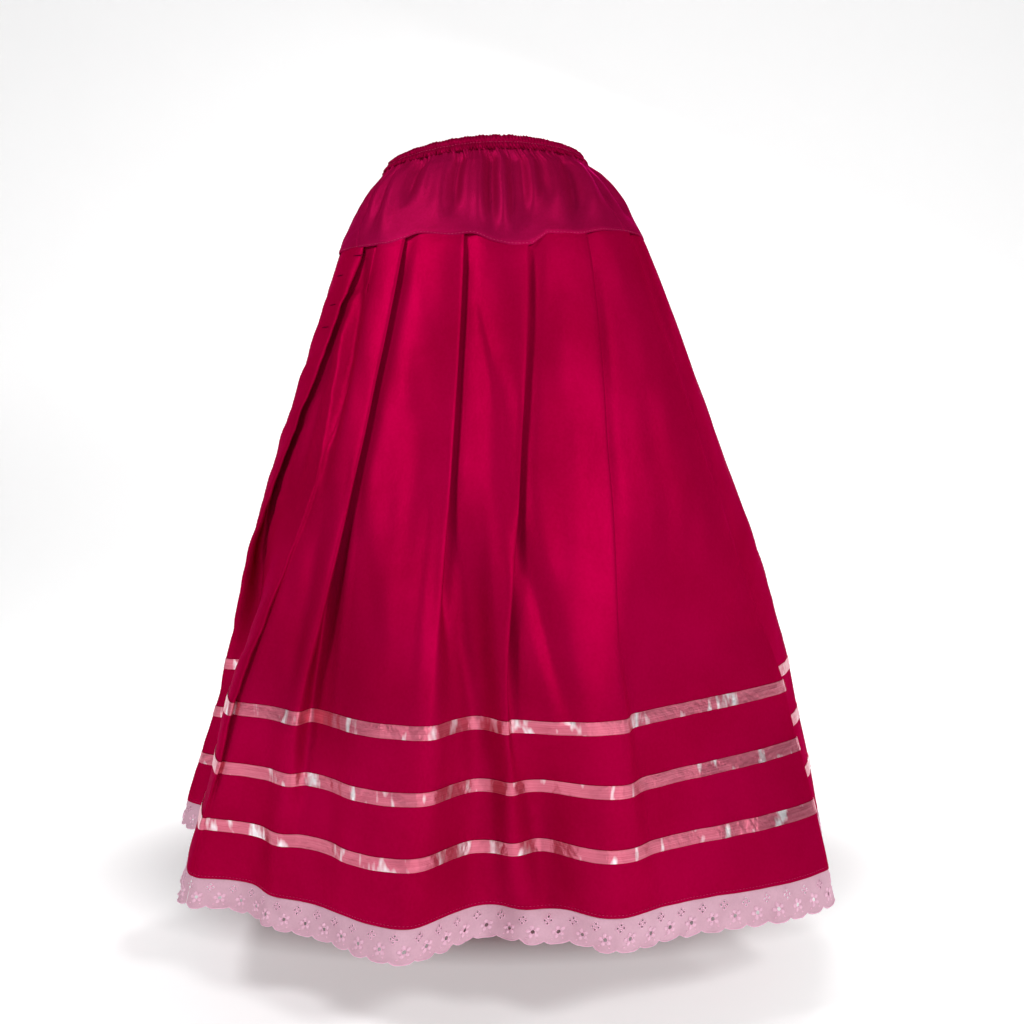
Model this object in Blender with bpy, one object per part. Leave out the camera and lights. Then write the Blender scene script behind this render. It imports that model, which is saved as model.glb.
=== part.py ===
"""An umbanda skirt as it is worn: a shirred waist casing, a gathered hip yoke, a skirt of knife pleats that
open into waves, three rows of satin ribbon and an edging of eyelet lace.

Metres, +Z up. The viewer stands at -Y, with +X to the viewer's right. The origin is the middle of the waist
ring, where the wearer holds the skirt up. A drop is a height below the origin. A place along a ring is its
distance from the centre front, towards +X, and its share of the ring when it is divided by the girth.
"""

import math
from collections import namedtuple

import bpy
import numpy as np

# Cloth and trim, in metres
WALL = 0.0012
SEAM_GAP = 0.0003
YOKE_CLEARANCE = 0.0008
RIBBON_WIDTH = 0.015
RIBBON_THICKNESS = 0.0010
RIBBON_DROPS = {"top": 0.676, "middle": 0.748, "low": 0.820}
SEAM_DROP = 0.125
SEAM_LAP = 0.004
HEM_DROP = 0.897

# Waist casing: gathers in the elastic, and the height of the casing
CASING_GATHERS = 52
CASING_HEIGHT = 0.0178
WAIST_SIDE_DROP = 0.010
WAIST_ROLL = 0.006

# Yoke: gathers that fade towards the seam
YOKE_FRONT_GATHERS = 16
YOKE_BACK_GATHERS = 22
YOKE_FULL_GATHER = 0.0032
YOKE_GATHER_FADE = 1.3

# Eyelet lace: one repeat holds one large eyelet over the middle of one scallop
LACE_REPEAT = 0.028
LACE_DEPTH = 0.040
SCALLOP_DEPTH = 0.0042
SCALLOP_SHOULDER = 0.24
EYELET_RADIUS = 0.0026
EYELET_DROP = 0.0245
EYELET_SIDES = 6
LACE_FACING_REACH = 0.004

# The form that the cloth hangs round: at each drop, half its width, how far it reaches in front of the
# origin and behind it, and where its widest line lies
Ring = namedtuple("Ring", "drop half_width front back middle_x middle_y")
FORM = (
    Ring(0.000, 0.120, 0.092, 0.092, -0.004, 0.000),
    Ring(0.018, 0.128, 0.098, 0.098, -0.001, 0.000),
    Ring(0.030, 0.140, 0.103, 0.105, 0.003, 0.000),
    Ring(0.048, 0.157, 0.112, 0.115, 0.003, 0.000),
    Ring(0.080, 0.177, 0.126, 0.130, 0.005, 0.000),
    Ring(0.133, 0.201, 0.147, 0.150, 0.007, 0.000),
    Ring(0.200, 0.225, 0.172, 0.176, 0.009, 0.000),
    Ring(0.330, 0.270, 0.222, 0.232, 0.012, 0.004),
    Ring(0.460, 0.315, 0.270, 0.286, 0.014, 0.020),
    Ring(0.600, 0.362, 0.316, 0.340, 0.016, 0.038),
    Ring(0.680, 0.393, 0.334, 0.375, 0.018, 0.050),
    Ring(0.750, 0.411, 0.338, 0.398, 0.017, 0.062),
    Ring(0.820, 0.432, 0.340, 0.420, 0.015, 0.078),
    Ring(0.945, 0.466, 0.342, 0.456, 0.014, 0.104),
)
FORM_LEVELS = 189
FORM_STEPS = 1440
FORM_NEAR = 1.5 / FORM_STEPS
SHARPEST_MITRE = 0.35
SMOOTH_ANGLE = math.radians(40)

# The pleats are set out at four drops. Between them every value follows a smooth curve. One fold comes out
# from under its neighbour at the seam, and the tucks beside it are shorter.
STATION_DROPS = (0.125, 0.400, 0.680, 0.917)

# Each pleat, from the wearer's right side seam round by the front: where its fold lies at the four
# stations, how far the cloth is tucked under it at the ribbon and at the hem (less than nothing where the
# fold has opened), how far the next panel steps in, how far the fold stands off the form, and how far the
# panel after it hangs in at its middle
Pleat = namedtuple(
    "Pleat",
    "name seam_at mid_at ribbon_at hem_at under_ribbon under_hem step_ribbon step_hem"
    " lift_ribbon lift_hem sag_ribbon sag_hem",
)
PLEATS = (
    Pleat("A", -0.156, -0.227, -0.325, -0.425, 0.010, -0.016, 0.008, 0.002, 0.027, 0.014, 0.011, 0.028),
    Pleat("B", -0.108, -0.167, -0.234, -0.283, 0.006, -0.024, 0.029, 0.006, 0.012, -0.015, -0.010, 0.007),
    Pleat("C", -0.034, -0.054, -0.069, -0.094, -0.012, -0.035, 0.032, 0.052, 0.015, 0.011, 0.030, 0.032),
    Pleat("D", 0.041, 0.026, 0.012, 0.050, 0.006, -0.030, 0.015, 0.002, -0.012, -0.052, -0.010, 0.000),
    Pleat("E", 0.118, 0.130, 0.143, 0.153, -0.012, -0.048, 0.023, 0.013, -0.001, -0.012, 0.026, 0.008),
    Pleat("F", 0.196, 0.294, 0.464, 0.451, -0.009, -0.029, 0.032, 0.047, -0.007, 0.030, -0.010, 0.010),
    Pleat("G", 0.264, 0.417, 0.751, 0.800, -0.003, -0.030, 0.020, 0.030, 0.023, 0.010, 0.006, 0.010),
    Pleat("H", 0.357, 0.545, 0.845, 0.965, -0.003, -0.030, 0.012, 0.004, 0.004, -0.032, 0.004, 0.004),
    Pleat("I", 0.450, 0.680, 0.975, 1.105, 0.003, -0.045, 0.016, 0.045, 0.010, 0.012, 0.016, 0.020),
    Pleat("J", 0.543, 0.835, 1.130, 1.280, -0.004, -0.030, 0.012, 0.004, 0.002, -0.034, 0.004, 0.002),
    Pleat("K", 0.635, 0.965, 1.262, 1.425, 0.003, -0.045, 0.018, 0.050, 0.010, 0.012, 0.020, 0.022),
    Pleat("L", 0.728, 1.115, 1.415, 1.590, -0.003, -0.030, 0.012, 0.004, 0.000, -0.036, 0.004, 0.004),
    Pleat("M", 0.821, 1.262, 1.580, 1.775, -0.004, -0.040, 0.018, 0.034, 0.008, 0.006, 0.012, 0.014),
    Pleat("N", 0.914, 1.405, 1.740, 1.952, -0.005, -0.031, 0.038, 0.038, -0.005, 0.008, 0.025, 0.025),
)
SEAM_UNDER, MID_UNDER = 0.045, 0.028
SHORT_TUCKS = {"A": (0.007, 0.016), "B": (0.035, 0.028)}
SEAM_STEP, MID_STEP = 0.0056, 0.0080
SEAM_LIFT, MID_LIFT = 0.0028, 0.0045
FOOT_GAP = 0.003
SHOULDER = 0.003
OPEN_SHOULDER = 0.020
OPEN_WIDTH = 0.030

SKIRT_ROWS = (0.150, 0.225, 0.320, 0.420, 0.520, 0.610)

# Rows of the waist casing: drop, how far the cloth stands out, and the depth of its gathers
CasingRow = namedtuple("CasingRow", "drop stand gather")
CASING_ROWS = (
    CasingRow(0.0000, 0.0010, 0.0016),
    CasingRow(0.0042, 0.0030, 0.0010),
    CasingRow(0.0088, 0.0014, 0.0006),
    CasingRow(0.0134, 0.0030, 0.0010),
    CasingRow(0.0178, 0.0012, 0.0006),
)
CASING_EDGE_RUFFLE = 0.0009
YOKE_ROWS = (0.0183, 0.036, 0.062, 0.095)
GATHER_SIZES = (1.0, 0.55, 0.85, 1.15, 0.6, 0.95, 0.7)

# How far the wavy yoke seam dips below its level line, at places along it
SeamPoint = namedtuple("SeamPoint", "place dip")
SEAM_LINE = (
    SeamPoint(-0.552, 0.0000),
    SeamPoint(-0.300, 0.0060),
    SeamPoint(-0.160, 0.0100),
    SeamPoint(-0.134, 0.0100),
    SeamPoint(-0.107, 0.0042),
    SeamPoint(-0.090, -0.0004),
    SeamPoint(-0.048, 0.0040),
    SeamPoint(-0.026, 0.0018),
    SeamPoint(0.004, 0.0129),
    SeamPoint(0.026, 0.0165),
    SeamPoint(0.043, 0.0154),
    SeamPoint(0.055, 0.0080),
    SeamPoint(0.068, 0.0004),
    SeamPoint(0.100, 0.0000),
    SeamPoint(0.145, -0.0085),
    SeamPoint(0.200, -0.0115),
    SeamPoint(0.350, -0.0060),
    SeamPoint(0.552, 0.0000),
)
SHIFT_FADES_AT = 0.480
SHIFT_FADE_POWER = 1.5

# Side seams of the yoke, as shares of the ring, at the casing and at the yoke seam
YOKE_LEFT = (-0.210, -0.167)
YOKE_RIGHT = (0.158, 0.169)


def through(xs, ys, x):
    """Smooth curve through the points (xs, ys), with no overshoot."""
    xs, ys, x = np.asarray(xs, float), np.asarray(ys, float), np.asarray(x, float)
    gaps = np.diff(xs)
    slopes = np.diff(ys) / gaps
    turns = slopes[:-1] * slopes[1:]
    tangents = np.concatenate([slopes[:1], np.zeros(len(turns)), slopes[-1:]])
    for i, turn in enumerate(turns):
        if turn > 0:
            tangents[i + 1] = 2 * turn / (slopes[i] + slopes[i + 1])
    i = np.clip(np.searchsorted(xs, x) - 1, 0, len(gaps) - 1)
    t = (x - xs[i]) / gaps[i]
    start = ys[i] * (1 + 2 * t) * (1 - t) ** 2 + tangents[i] * gaps[i] * t * (1 - t) ** 2
    end = ys[i + 1] * t * t * (3 - 2 * t) + tangents[i + 1] * gaps[i] * t * t * (t - 1)
    return start + end


def form_tables():
    """Points of the form at even drops and even shares of the ring, and each drop's girth."""
    drops = np.linspace(FORM[0].drop, FORM[-1].drop, FORM_LEVELS)
    column = {name: [getattr(ring, name) for ring in FORM] for name in Ring._fields}
    turn = np.linspace(0.0, 2 * math.pi, FORM_STEPS + 1)
    shares = np.linspace(0.0, 1.0, FORM_STEPS + 1)
    xs, ys, girths = [], [], []
    for drop in drops:
        half_width, front, back, middle_x, middle_y = (
            through(column["drop"], column[name], drop) for name in Ring._fields[1:]
        )
        reach = np.where(np.cos(turn) > 0, front + middle_y, back - middle_y)
        x = middle_x + half_width * np.sin(turn)
        y = middle_y - reach * np.cos(turn)
        run = np.concatenate([[0.0], np.cumsum(np.hypot(np.diff(x), np.diff(y)))])
        xs.append(np.interp(shares * run[-1], run, x))
        ys.append(np.interp(shares * run[-1], run, y))
        girths.append(run[-1])
    return drops, np.array(xs), np.array(ys), np.array(girths)


FORM_DROPS, FORM_X, FORM_Y, GIRTHS = form_tables()


def girth(drop):
    return float(np.interp(drop, FORM_DROPS, GIRTHS))


def on_form(share, drop):
    """Points (x, y) of the form at these shares and drops."""
    along = (np.asarray(share) % 1.0) * FORM_STEPS
    down = np.clip((np.asarray(drop) - FORM_DROPS[0]) / (FORM_DROPS[1] - FORM_DROPS[0]), 0, FORM_LEVELS - 1)
    i, j = np.minimum(down.astype(int), FORM_LEVELS - 2), np.minimum(along.astype(int), FORM_STEPS - 1)
    u, v = down - i, along - j
    corners = ((i, j, (1 - u) * (1 - v)), (i + 1, j, u * (1 - v)), (i, j + 1, (1 - u) * v), (i + 1, j + 1, u * v))
    x = sum(weight * FORM_X[row, step] for row, step, weight in corners)
    y = sum(weight * FORM_Y[row, step] for row, step, weight in corners)
    return np.stack([x, y], axis=-1)


def off_form(share, drop, off):
    """Points (x, y) that stand off the form by this much."""
    along = on_form(np.asarray(share) + FORM_NEAR, drop) - on_form(np.asarray(share) - FORM_NEAR, drop)
    out = np.stack([along[..., 1], -along[..., 0]], axis=-1)
    out = out / np.linalg.norm(out, axis=-1, keepdims=True)
    return on_form(share, drop) + out * np.asarray(off)[..., None]


def waist_shift(share):
    """How much lower than the centre front the waist lies at this share of the ring."""
    side = np.sin(2 * math.pi * share)
    return WAIST_SIDE_DROP * side**2 - WAIST_ROLL * side


def seam_shift(share):
    """How much lower than its level line the yoke seam lies at this share of the ring."""
    places = ((np.asarray(share) + 0.5) % 1.0 - 0.5) * girth(SEAM_DROP)
    ends = SEAM_LINE[0].place, SEAM_LINE[-1].place
    places = np.clip(places, *ends)
    return through([point.place for point in SEAM_LINE], [point.dip for point in SEAM_LINE], places)


def shifted(share, drop):
    """The true drop of a point whose row has this level drop."""
    down = np.clip((drop - CASING_HEIGHT) / (SEAM_DROP - CASING_HEIGHT), 0, 1)
    fade = np.clip((SHIFT_FADES_AT - drop) / (SHIFT_FADES_AT - SEAM_DROP), 0, 1)
    return drop + (1 - down) * waist_shift(share) + down * fade**SHIFT_FADE_POWER * seam_shift(share)


def mitred(line, off, closed=False):
    """The line of (x, y) points moved sideways by off, to the outside, with its corners mitred."""
    if closed:
        steps = np.roll(line, -1, axis=0) - line
        before = np.roll(steps, 1, axis=0)
        after = steps
    else:
        steps = np.diff(line, axis=0)
        before = np.concatenate([steps[:1], steps])
        after = np.concatenate([steps, steps[-1:]])
    sides = [np.stack([step[:, 1], -step[:, 0]], axis=-1) for step in (before, after)]
    sides = [side / np.linalg.norm(side, axis=-1, keepdims=True) for side in sides]
    both = 1 + (sides[0] * sides[1]).sum(axis=-1, keepdims=True)
    return line + off * (sides[0] + sides[1]) / np.maximum(both, SHARPEST_MITRE)


def at_stations(pleat, drop):
    """One pleat's place, tuck, step, lift and sag at this drop."""
    places = (pleat.seam_at, pleat.mid_at, pleat.ribbon_at, pleat.hem_at)
    shares = [place / girth(station) for place, station in zip(places, STATION_DROPS)]
    seam_under, mid_under = SHORT_TUCKS.get(pleat.name, (SEAM_UNDER, MID_UNDER))
    rows = (
        shares,
        (seam_under, mid_under, pleat.under_ribbon, pleat.under_hem),
        (SEAM_STEP, MID_STEP, pleat.step_ribbon, pleat.step_hem),
        (SEAM_LIFT, MID_LIFT, pleat.lift_ribbon, pleat.lift_hem),
        (0.0, 0.0, pleat.sag_ribbon, pleat.sag_hem),
    )
    return [float(through(STATION_DROPS, row, drop)) for row in rows]


def fold_points(place, under, step, lift):
    """The four corners of a fold, as (place, off): over its edge, under it, and round the inner fold."""
    opened = max(-under, 0.0)
    return [
        (place, lift),
        (place + opened / 3, lift - step / 3),
        (place - max(under, 0.0) + 2 * opened / 3, lift - 2 * step / 3),
        (place - under, lift - step),
    ]


# Points of a panel between two folds: share of its width, share of its rise, and share of its sag
PanelPoint = namedtuple("PanelPoint", "across rise sag")
PANEL = (
    PanelPoint(0.00, 0.00, 0.05),
    PanelPoint(0.30, 0.20, 0.80),
    PanelPoint(0.66, 0.70, 0.85),
    PanelPoint(1.00, 1.00, 0.10),
)


def section(first, last, drop):
    """Points (share, off) from the fold of pleat first to the fold of pleat last, at one drop."""
    around = girth(drop)
    folds = []
    for number in range(first, last + 1):
        share, *values = at_stations(PLEATS[number % len(PLEATS)], drop)
        folds.append(((share + number // len(PLEATS)) * around, *values))
    points = fold_points(*folds[0][:4])
    for (place, under, step, lift, sag), (next_place, next_under, next_step, next_lift, _) in zip(folds, folds[1:]):
        start = place + max(-under, 0.0) + FOOT_GAP
        opened = min(max(-next_under, 0.0) / OPEN_WIDTH, 1.0)
        end = next_place - max(next_under, 0.0) - SHOULDER - OPEN_SHOULDER * opened
        for point in PANEL:
            off = (lift - step) + (next_lift - lift + step) * point.rise - sag * point.sag
            points.append((start + (end - start) * point.across, off))
        points += fold_points(next_place, next_under, next_step, next_lift)
    points = np.array(points)
    return points[:, 0] / around, points[:, 1]


def skirt_line(first, last, drop):
    """Points (x, y, z) down the middle of one panel's cloth at one drop, from side seam to side seam.

    A side seam lies in the tuck of its pleat, halfway between the fold's edge and its inner fold.
    """
    share, off = section(first, last, drop)
    true_drop = shifted(share, drop)
    line = np.column_stack([off_form(share, true_drop, off), -true_drop])
    ends = []
    for kept, cut in ((line[2], line[1]), (line[-3], line[-2])):
        towards = (kept - cut) / np.linalg.norm(kept - cut)
        ends.append((kept + cut) / 2 + towards * SEAM_GAP / 2)
    return np.concatenate([ends[:1], line[2:-2], ends[1:]])


def beside(line, off, closed=False):
    """The points (x, y, z) of a line moved out by off, level with it."""
    return np.column_stack([mitred(line[:, :2], off, closed), line[:, 2]])


def add_piece(name, points, faces, material):
    mesh = bpy.data.meshes.new(name)
    mesh.from_pydata([tuple(map(float, point)) for point in points], [], faces)
    mesh.validate()
    mesh.shade_smooth()
    mesh.set_sharp_from_angle(angle=SMOOTH_ANGLE)
    mesh.materials.append(material)
    piece = bpy.data.objects.new(name, mesh)
    bpy.context.scene.collection.objects.link(piece)
    return piece


def add_wall(name, outer, inner, material, closed=False):
    """A wall between two lists of rows, from the top down, each row running round towards +X at the front."""
    width = len(outer[0])
    points = np.concatenate(list(outer) + list(inner))
    start = width * len(outer)
    bottom_outer, bottom_inner = width * (len(outer) - 1), start + width * (len(inner) - 1)
    faces = []
    for j in range(width if closed else width - 1):
        k = (j + 1) % width
        for i in range(0, width * (len(outer) - 1), width):
            faces.append((i + j, i + width + j, i + width + k, i + k))
        for i in range(start, start + width * (len(inner) - 1), width):
            faces.append((i + j, i + k, i + width + k, i + width + j))
        faces.append((j, k, start + k, start + j))
        faces.append((bottom_outer + j, bottom_inner + j, bottom_inner + k, bottom_outer + k))
    if not closed:
        end = width - 1
        for i in range(0, width * (len(outer) - 1), width):
            faces.append((i, start + i, start + i + width, i + width))
            faces.append((i + end, i + width + end, start + i + width + end, start + i + end))
    return add_piece(name, points, faces, material)


def cloth_material(name, colour, roughness):
    material = bpy.data.materials.new(name)
    material.use_nodes = True
    shader = material.node_tree.nodes["Principled BSDF"]
    shader.inputs["Base Color"].default_value = (*colour, 1.0)
    shader.inputs["Roughness"].default_value = roughness
    shader.inputs["Metallic"].default_value = 0.0
    return material


def add_waistband(material):
    """The elastic casing: two ridges either side of a stitched line, gathered all round."""
    share = np.arange(2 * CASING_GATHERS) / (2 * CASING_GATHERS)
    crest = np.where(np.arange(2 * CASING_GATHERS) % 2 == 0, 1.0, -1.0)
    size = np.array(GATHER_SIZES)[(np.arange(2 * CASING_GATHERS) // 2) % len(GATHER_SIZES)]
    outer = []
    for row in CASING_ROWS:
        drop = row.drop + waist_shift(share)
        flat = off_form(share, drop, row.stand + row.gather * crest * size)
        ruffle = CASING_EDGE_RUFFLE * crest * size if row.drop == 0 else 0.0
        outer.append(np.column_stack([flat, ruffle - drop]))
    inner = []
    for row in (CASING_ROWS[0], CASING_ROWS[-1]):
        drop = row.drop + waist_shift(share)
        ruffle = CASING_EDGE_RUFFLE * crest * size if row.drop == 0 else 0.0
        flat = off_form(share, drop, np.full(len(share), row.stand - row.gather * max(GATHER_SIZES) - WALL))
        inner.append(np.column_stack([flat, ruffle - drop]))
    add_wall("waistband", outer, inner, material, closed=True)


def add_yoke(name, left, right, gathers, material):
    """One panel of the yoke. Its gathers are deep at the casing and gone at the seam."""
    columns = np.arange(2 * gathers + 1)
    crest = np.where(columns % 2 == 0, 1.0, -1.0)
    size = np.array(GATHER_SIZES)[(columns // 2) % len(GATHER_SIZES)]
    lap = SEAM_LIFT + WALL + YOKE_CLEARANCE
    outer, inner = [], []
    for drop in YOKE_ROWS + (SEAM_DROP,):
        down = (drop - YOKE_ROWS[0]) / (SEAM_DROP - YOKE_ROWS[0])
        low, high = (side[0] + (side[1] - side[0]) * down for side in (left, right))
        gap = SEAM_GAP / 2 / girth(drop)
        share = np.linspace(low + gap, high - gap, len(columns))
        off = YOKE_FULL_GATHER * (1 - down) ** YOKE_GATHER_FADE * crest * size / 2 + lap * down
        true_drop = shifted(share, drop)
        line = np.column_stack([off_form(share, true_drop, off), -true_drop])
        outer.append(beside(line, WALL / 2))
        inner.append(beside(line, -WALL / 2))
    add_wall(name, outer, inner, material)


def add_skirt(name, first, last, material):
    """One pleated panel, from side seam to side seam."""
    ribbon_rows = [row for top in RIBBON_DROPS.values() for row in (top, top + RIBBON_WIDTH)]
    drops = (SEAM_DROP - SEAM_LAP,) + SKIRT_ROWS + tuple(ribbon_rows) + (HEM_DROP,)
    lines = [skirt_line(first, last, drop) for drop in drops]
    outer = [beside(line, WALL / 2) for line in lines]
    inner = [beside(line, -WALL / 2) for line in lines]
    add_wall(name, outer, inner, material)


def add_ribbon(name, first, last, top, material):
    """A strip on the outer face of a skirt panel, made from the panel's own points."""
    lines = [skirt_line(first, last, drop) for drop in (top, top + RIBBON_WIDTH)]
    under = WALL / 2 + SEAM_GAP
    outer = [beside(line, under + RIBBON_THICKNESS) for line in lines]
    inner = [beside(line, under) for line in lines]
    add_wall(name, outer, inner, material)


def along_line(line, places):
    """Points and outward directions at these shares of a line's length."""
    run = np.concatenate([[0.0], np.cumsum(np.hypot(*np.diff(line[:, :2], axis=0).T))])
    near = LACE_FACING_REACH / run[-1]

    def at(share):
        return np.column_stack([np.interp(share * run[-1], run, line[:, axis]) for axis in range(3)])

    step = at(np.clip(places + near, 0, 1)) - at(np.clip(places - near, 0, 1))
    out = np.column_stack([step[:, 1], -step[:, 0], np.zeros(len(places))])
    return at(places), out / np.linalg.norm(out, axis=1, keepdims=True)


def lace_repeat():
    """Points (across, down) of one repeat and its triangles: a hexagon hole inside a scalloped outline."""
    cusp = LACE_DEPTH - SCALLOP_DEPTH
    outline = [(0, 0), (0, cusp), (SCALLOP_SHOULDER, LACE_DEPTH)]
    outline += [(1 - SCALLOP_SHOULDER, LACE_DEPTH), (1, cusp), (1, 0)]
    hole = []
    for side in range(EYELET_SIDES):
        turn = 2 * math.pi * (side + 0.5) / EYELET_SIDES
        across = 0.5 + EYELET_RADIUS / LACE_REPEAT * math.sin(turn)
        hole.append((across, EYELET_DROP + EYELET_RADIUS * math.cos(turn)))

    def bearing(point):
        return math.atan2((point[0] - 0.5) * LACE_REPEAT, point[1] - EYELET_DROP) % (2 * math.pi)

    rims = [sorted(loop, key=bearing) for loop in (outline, hole)]
    points = rims[0] + rims[1]
    counts = [len(rim) for rim in rims]
    steps = sorted(
        [(bearing(point), rim, i) for rim in (0, 1) for i, point in enumerate(rims[rim])]
    )
    at = [counts[0] - 1, counts[1] - 1]
    triangles = []
    for _, rim, i in steps:
        triangles.append((counts[0] + at[1], at[0], i + (counts[0] if rim else 0)))
        at[rim] = i
    return points, triangles, counts


def add_lace(name, first, last, material):
    """The eyelet edging below one skirt panel, with its large eyelets cut through."""
    top_line = skirt_line(first, last, HEM_DROP + SEAM_GAP)
    low_line = skirt_line(first, last, HEM_DROP + LACE_DEPTH)
    length = np.hypot(*np.diff(top_line[:, :2], axis=0).T).sum()
    repeats = round(length / LACE_REPEAT)
    shape, triangles, (outline_count, hole_count) = lace_repeat()
    across = np.array([point[0] for point in shape])
    down = np.array([point[1] for point in shape]) / LACE_DEPTH
    points, faces, welds = [], [], {}

    def vertex(repeat, corner, side):
        key = (round(repeat + across[corner], 4), round(down[corner], 4), side)
        if key not in welds:
            share = np.array([(repeat + across[corner]) / repeats])
            top, out = along_line(top_line, share)
            low, low_out = along_line(low_line, share)
            place = top + (low - top) * down[corner]
            facing = out + (low_out - out) * down[corner]
            welds[key] = len(points)
            points.append((place + facing * side * WALL / 2)[0])
        return welds[key]

    for repeat in range(repeats):
        for triangle in triangles:
            front = [vertex(repeat, corner, 1) for corner in triangle]
            back = [vertex(repeat, corner, -1) for corner in triangle]
            faces += [tuple(front), tuple(reversed(back))]
        rims = [(i, (i + 1) % outline_count) for i in range(outline_count)]
        hole = [(outline_count + i, outline_count + (i + 1) % hole_count) for i in range(hole_count)]
        for a, b in rims + [(b, a) for a, b in hole]:
            inside = across[a] == across[b] and 0 < repeat + across[a] < repeats
            if not inside:
                faces.append(tuple(vertex(repeat, *corner) for corner in ((b, 1), (a, 1), (a, -1), (b, -1))))
    add_piece(name, points, faces, material)


def main():
    for thing in list(bpy.data.objects):
        bpy.data.objects.remove(thing)
    magenta = cloth_material("magenta_cloth", (0.35, 0.0, 0.04), 0.62)
    satin = cloth_material("pink_satin", (0.83, 0.34, 0.42), 0.28)
    lace = cloth_material("pink_eyelet_lace", (0.74, 0.45, 0.56), 0.8)
    left_seam, right_seam = 0, 5
    halves = {"front": (left_seam, right_seam), "back": (right_seam, len(PLEATS))}
    add_waistband(magenta)
    add_yoke("yoke_front", YOKE_LEFT, YOKE_RIGHT, YOKE_FRONT_GATHERS, magenta)
    round_left = tuple(share + 1 for share in YOKE_LEFT)
    add_yoke("yoke_back", YOKE_RIGHT, round_left, YOKE_BACK_GATHERS, magenta)
    for half, (first, last) in halves.items():
        add_skirt(f"skirt_{half}", first, last, magenta)
        for row, drop in RIBBON_DROPS.items():
            add_ribbon(f"ribbon_{row}_{half}", first, last, drop, satin)
        add_lace(f"lace_{half}", first, last, lace)


main()
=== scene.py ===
# %% [markdown]
# An umbanda skirt in the full form that it takes when it is worn. From the waist down it has a shirred
# elastic casing, a gathered hip yoke, a skirt of knife pleats that open into soft waves, three rows of satin
# ribbon and an edging of eyelet lace. Every piece of it is cloth or thread, so almost everything here is a
# thin sheet on the same worn form as the CAD model, with the folds that a sewing hand would put in.

import math
from collections import namedtuple

import bpy
import numpy as np
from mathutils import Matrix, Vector
from mathutils.geometry import delaunay_2d_cdt


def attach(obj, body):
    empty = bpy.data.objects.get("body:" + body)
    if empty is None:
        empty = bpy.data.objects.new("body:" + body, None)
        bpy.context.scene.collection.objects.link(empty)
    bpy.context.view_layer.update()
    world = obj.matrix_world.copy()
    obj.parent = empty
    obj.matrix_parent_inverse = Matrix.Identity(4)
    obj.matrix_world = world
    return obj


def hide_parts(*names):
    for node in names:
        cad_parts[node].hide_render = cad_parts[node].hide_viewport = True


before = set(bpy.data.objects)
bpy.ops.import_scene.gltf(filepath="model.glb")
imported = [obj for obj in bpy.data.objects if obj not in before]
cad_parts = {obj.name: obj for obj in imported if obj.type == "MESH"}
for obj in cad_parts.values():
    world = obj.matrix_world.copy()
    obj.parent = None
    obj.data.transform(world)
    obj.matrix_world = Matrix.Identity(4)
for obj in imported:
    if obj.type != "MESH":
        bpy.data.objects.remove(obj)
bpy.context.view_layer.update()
bpy.ops.object.select_all(action="DESELECT")
print("CAD nodes:", ", ".join(sorted(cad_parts)))

# %% [markdown]
# The camera stands where the photograph was taken from: a little right of the middle and above half the
# skirt's height, looking slightly down. It is near, so the front of the hem looks larger than the back.

# %% Camera
CAMERA_PLACE = (0.03, -1.6, -0.3676)
CAMERA_PITCH = math.radians(3.65)
FOCAL_LENGTH_MM, SENSOR_MM = 42.36, 36.0

camera_data = bpy.data.cameras.new("camera")
camera_data.lens, camera_data.sensor_width = FOCAL_LENGTH_MM, SENSOR_MM
camera = bpy.data.objects.new("camera", camera_data)
camera.location = CAMERA_PLACE
camera.rotation_euler = (math.pi / 2 - CAMERA_PITCH, 0.0, 0.0)
bpy.context.scene.collection.objects.link(camera)
bpy.context.scene.camera = camera
bpy.context.scene.view_settings.view_transform = "Standard"
print("camera at", CAMERA_PLACE)

# %% [markdown]
# A product photograph of a garment is lit by large soft lamps, so that the folds show without hard
# shadows. An area lamp is the Blender tool for that: the larger it is, the softer its shadow. The key lamp
# stands high to the right of the front. A weak low one lights the hem, one lamp at each side rounds the
# folds, and the largest stands behind. The world gives the light of a pale room.

# %% Lamps and world
Lamp = namedtuple("Lamp", "name place aim size power colour")
LAMPS = (
    Lamp("key_lamp", (1.5, -2.3, 1.10), (0.0, 0.0, -0.50), 0.6, 37.0, (1.0, 1.0, 1.0)),
    Lamp("low_lamp", (0.4, -2.45, -0.55), (0.0, 0.0, -0.75), 0.2, 3.0, (1.0, 1.0, 1.0)),
    Lamp("left_lamp", (-1.35, -1.0, 0.95), (-0.1, 0.0, -0.20), 0.5, 20.0, (1.0, 0.98, 1.0)),
    Lamp("right_lamp", (2.2, -1.1, 0.55), (0.2, 0.0, -0.40), 0.4, 9.0, (1.0, 1.0, 1.0)),
    Lamp("back_lamp", (0.8, 2.6, 1.6), (0.0, 0.0, -0.40), 1.0, 40.0, (1.0, 1.0, 1.0)),
)
WORLD_STRENGTH = 0.10


def direction_to(place, aim):
    """The turn that points a lamp from place at aim."""
    return (Vector(aim) - Vector(place)).to_track_quat("-Z", "Y").to_euler()


for lamp in LAMPS:
    data = bpy.data.lights.new(lamp.name, "AREA")
    data.shape, data.size, data.energy, data.color = "DISK", lamp.size, lamp.power, lamp.colour
    light = bpy.data.objects.new(lamp.name, data)
    light.location, light.rotation_euler = lamp.place, direction_to(lamp.place, lamp.aim)
    bpy.context.scene.collection.objects.link(light)

world = bpy.data.worlds.new("pale_room")
world.use_nodes = True
world.node_tree.nodes["Background"].inputs["Color"].default_value = (1.0, 1.0, 1.0, 1.0)
world.node_tree.nodes["Background"].inputs["Strength"].default_value = WORLD_STRENGTH
bpy.context.scene.world = world
print("lamps:", len(LAMPS))

# %% [markdown]
# Every look is a graph of shader nodes. These helpers add a node and fill its inputs, so that a graph
# reads as a list of nodes, each fed by the ones before it.

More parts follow.
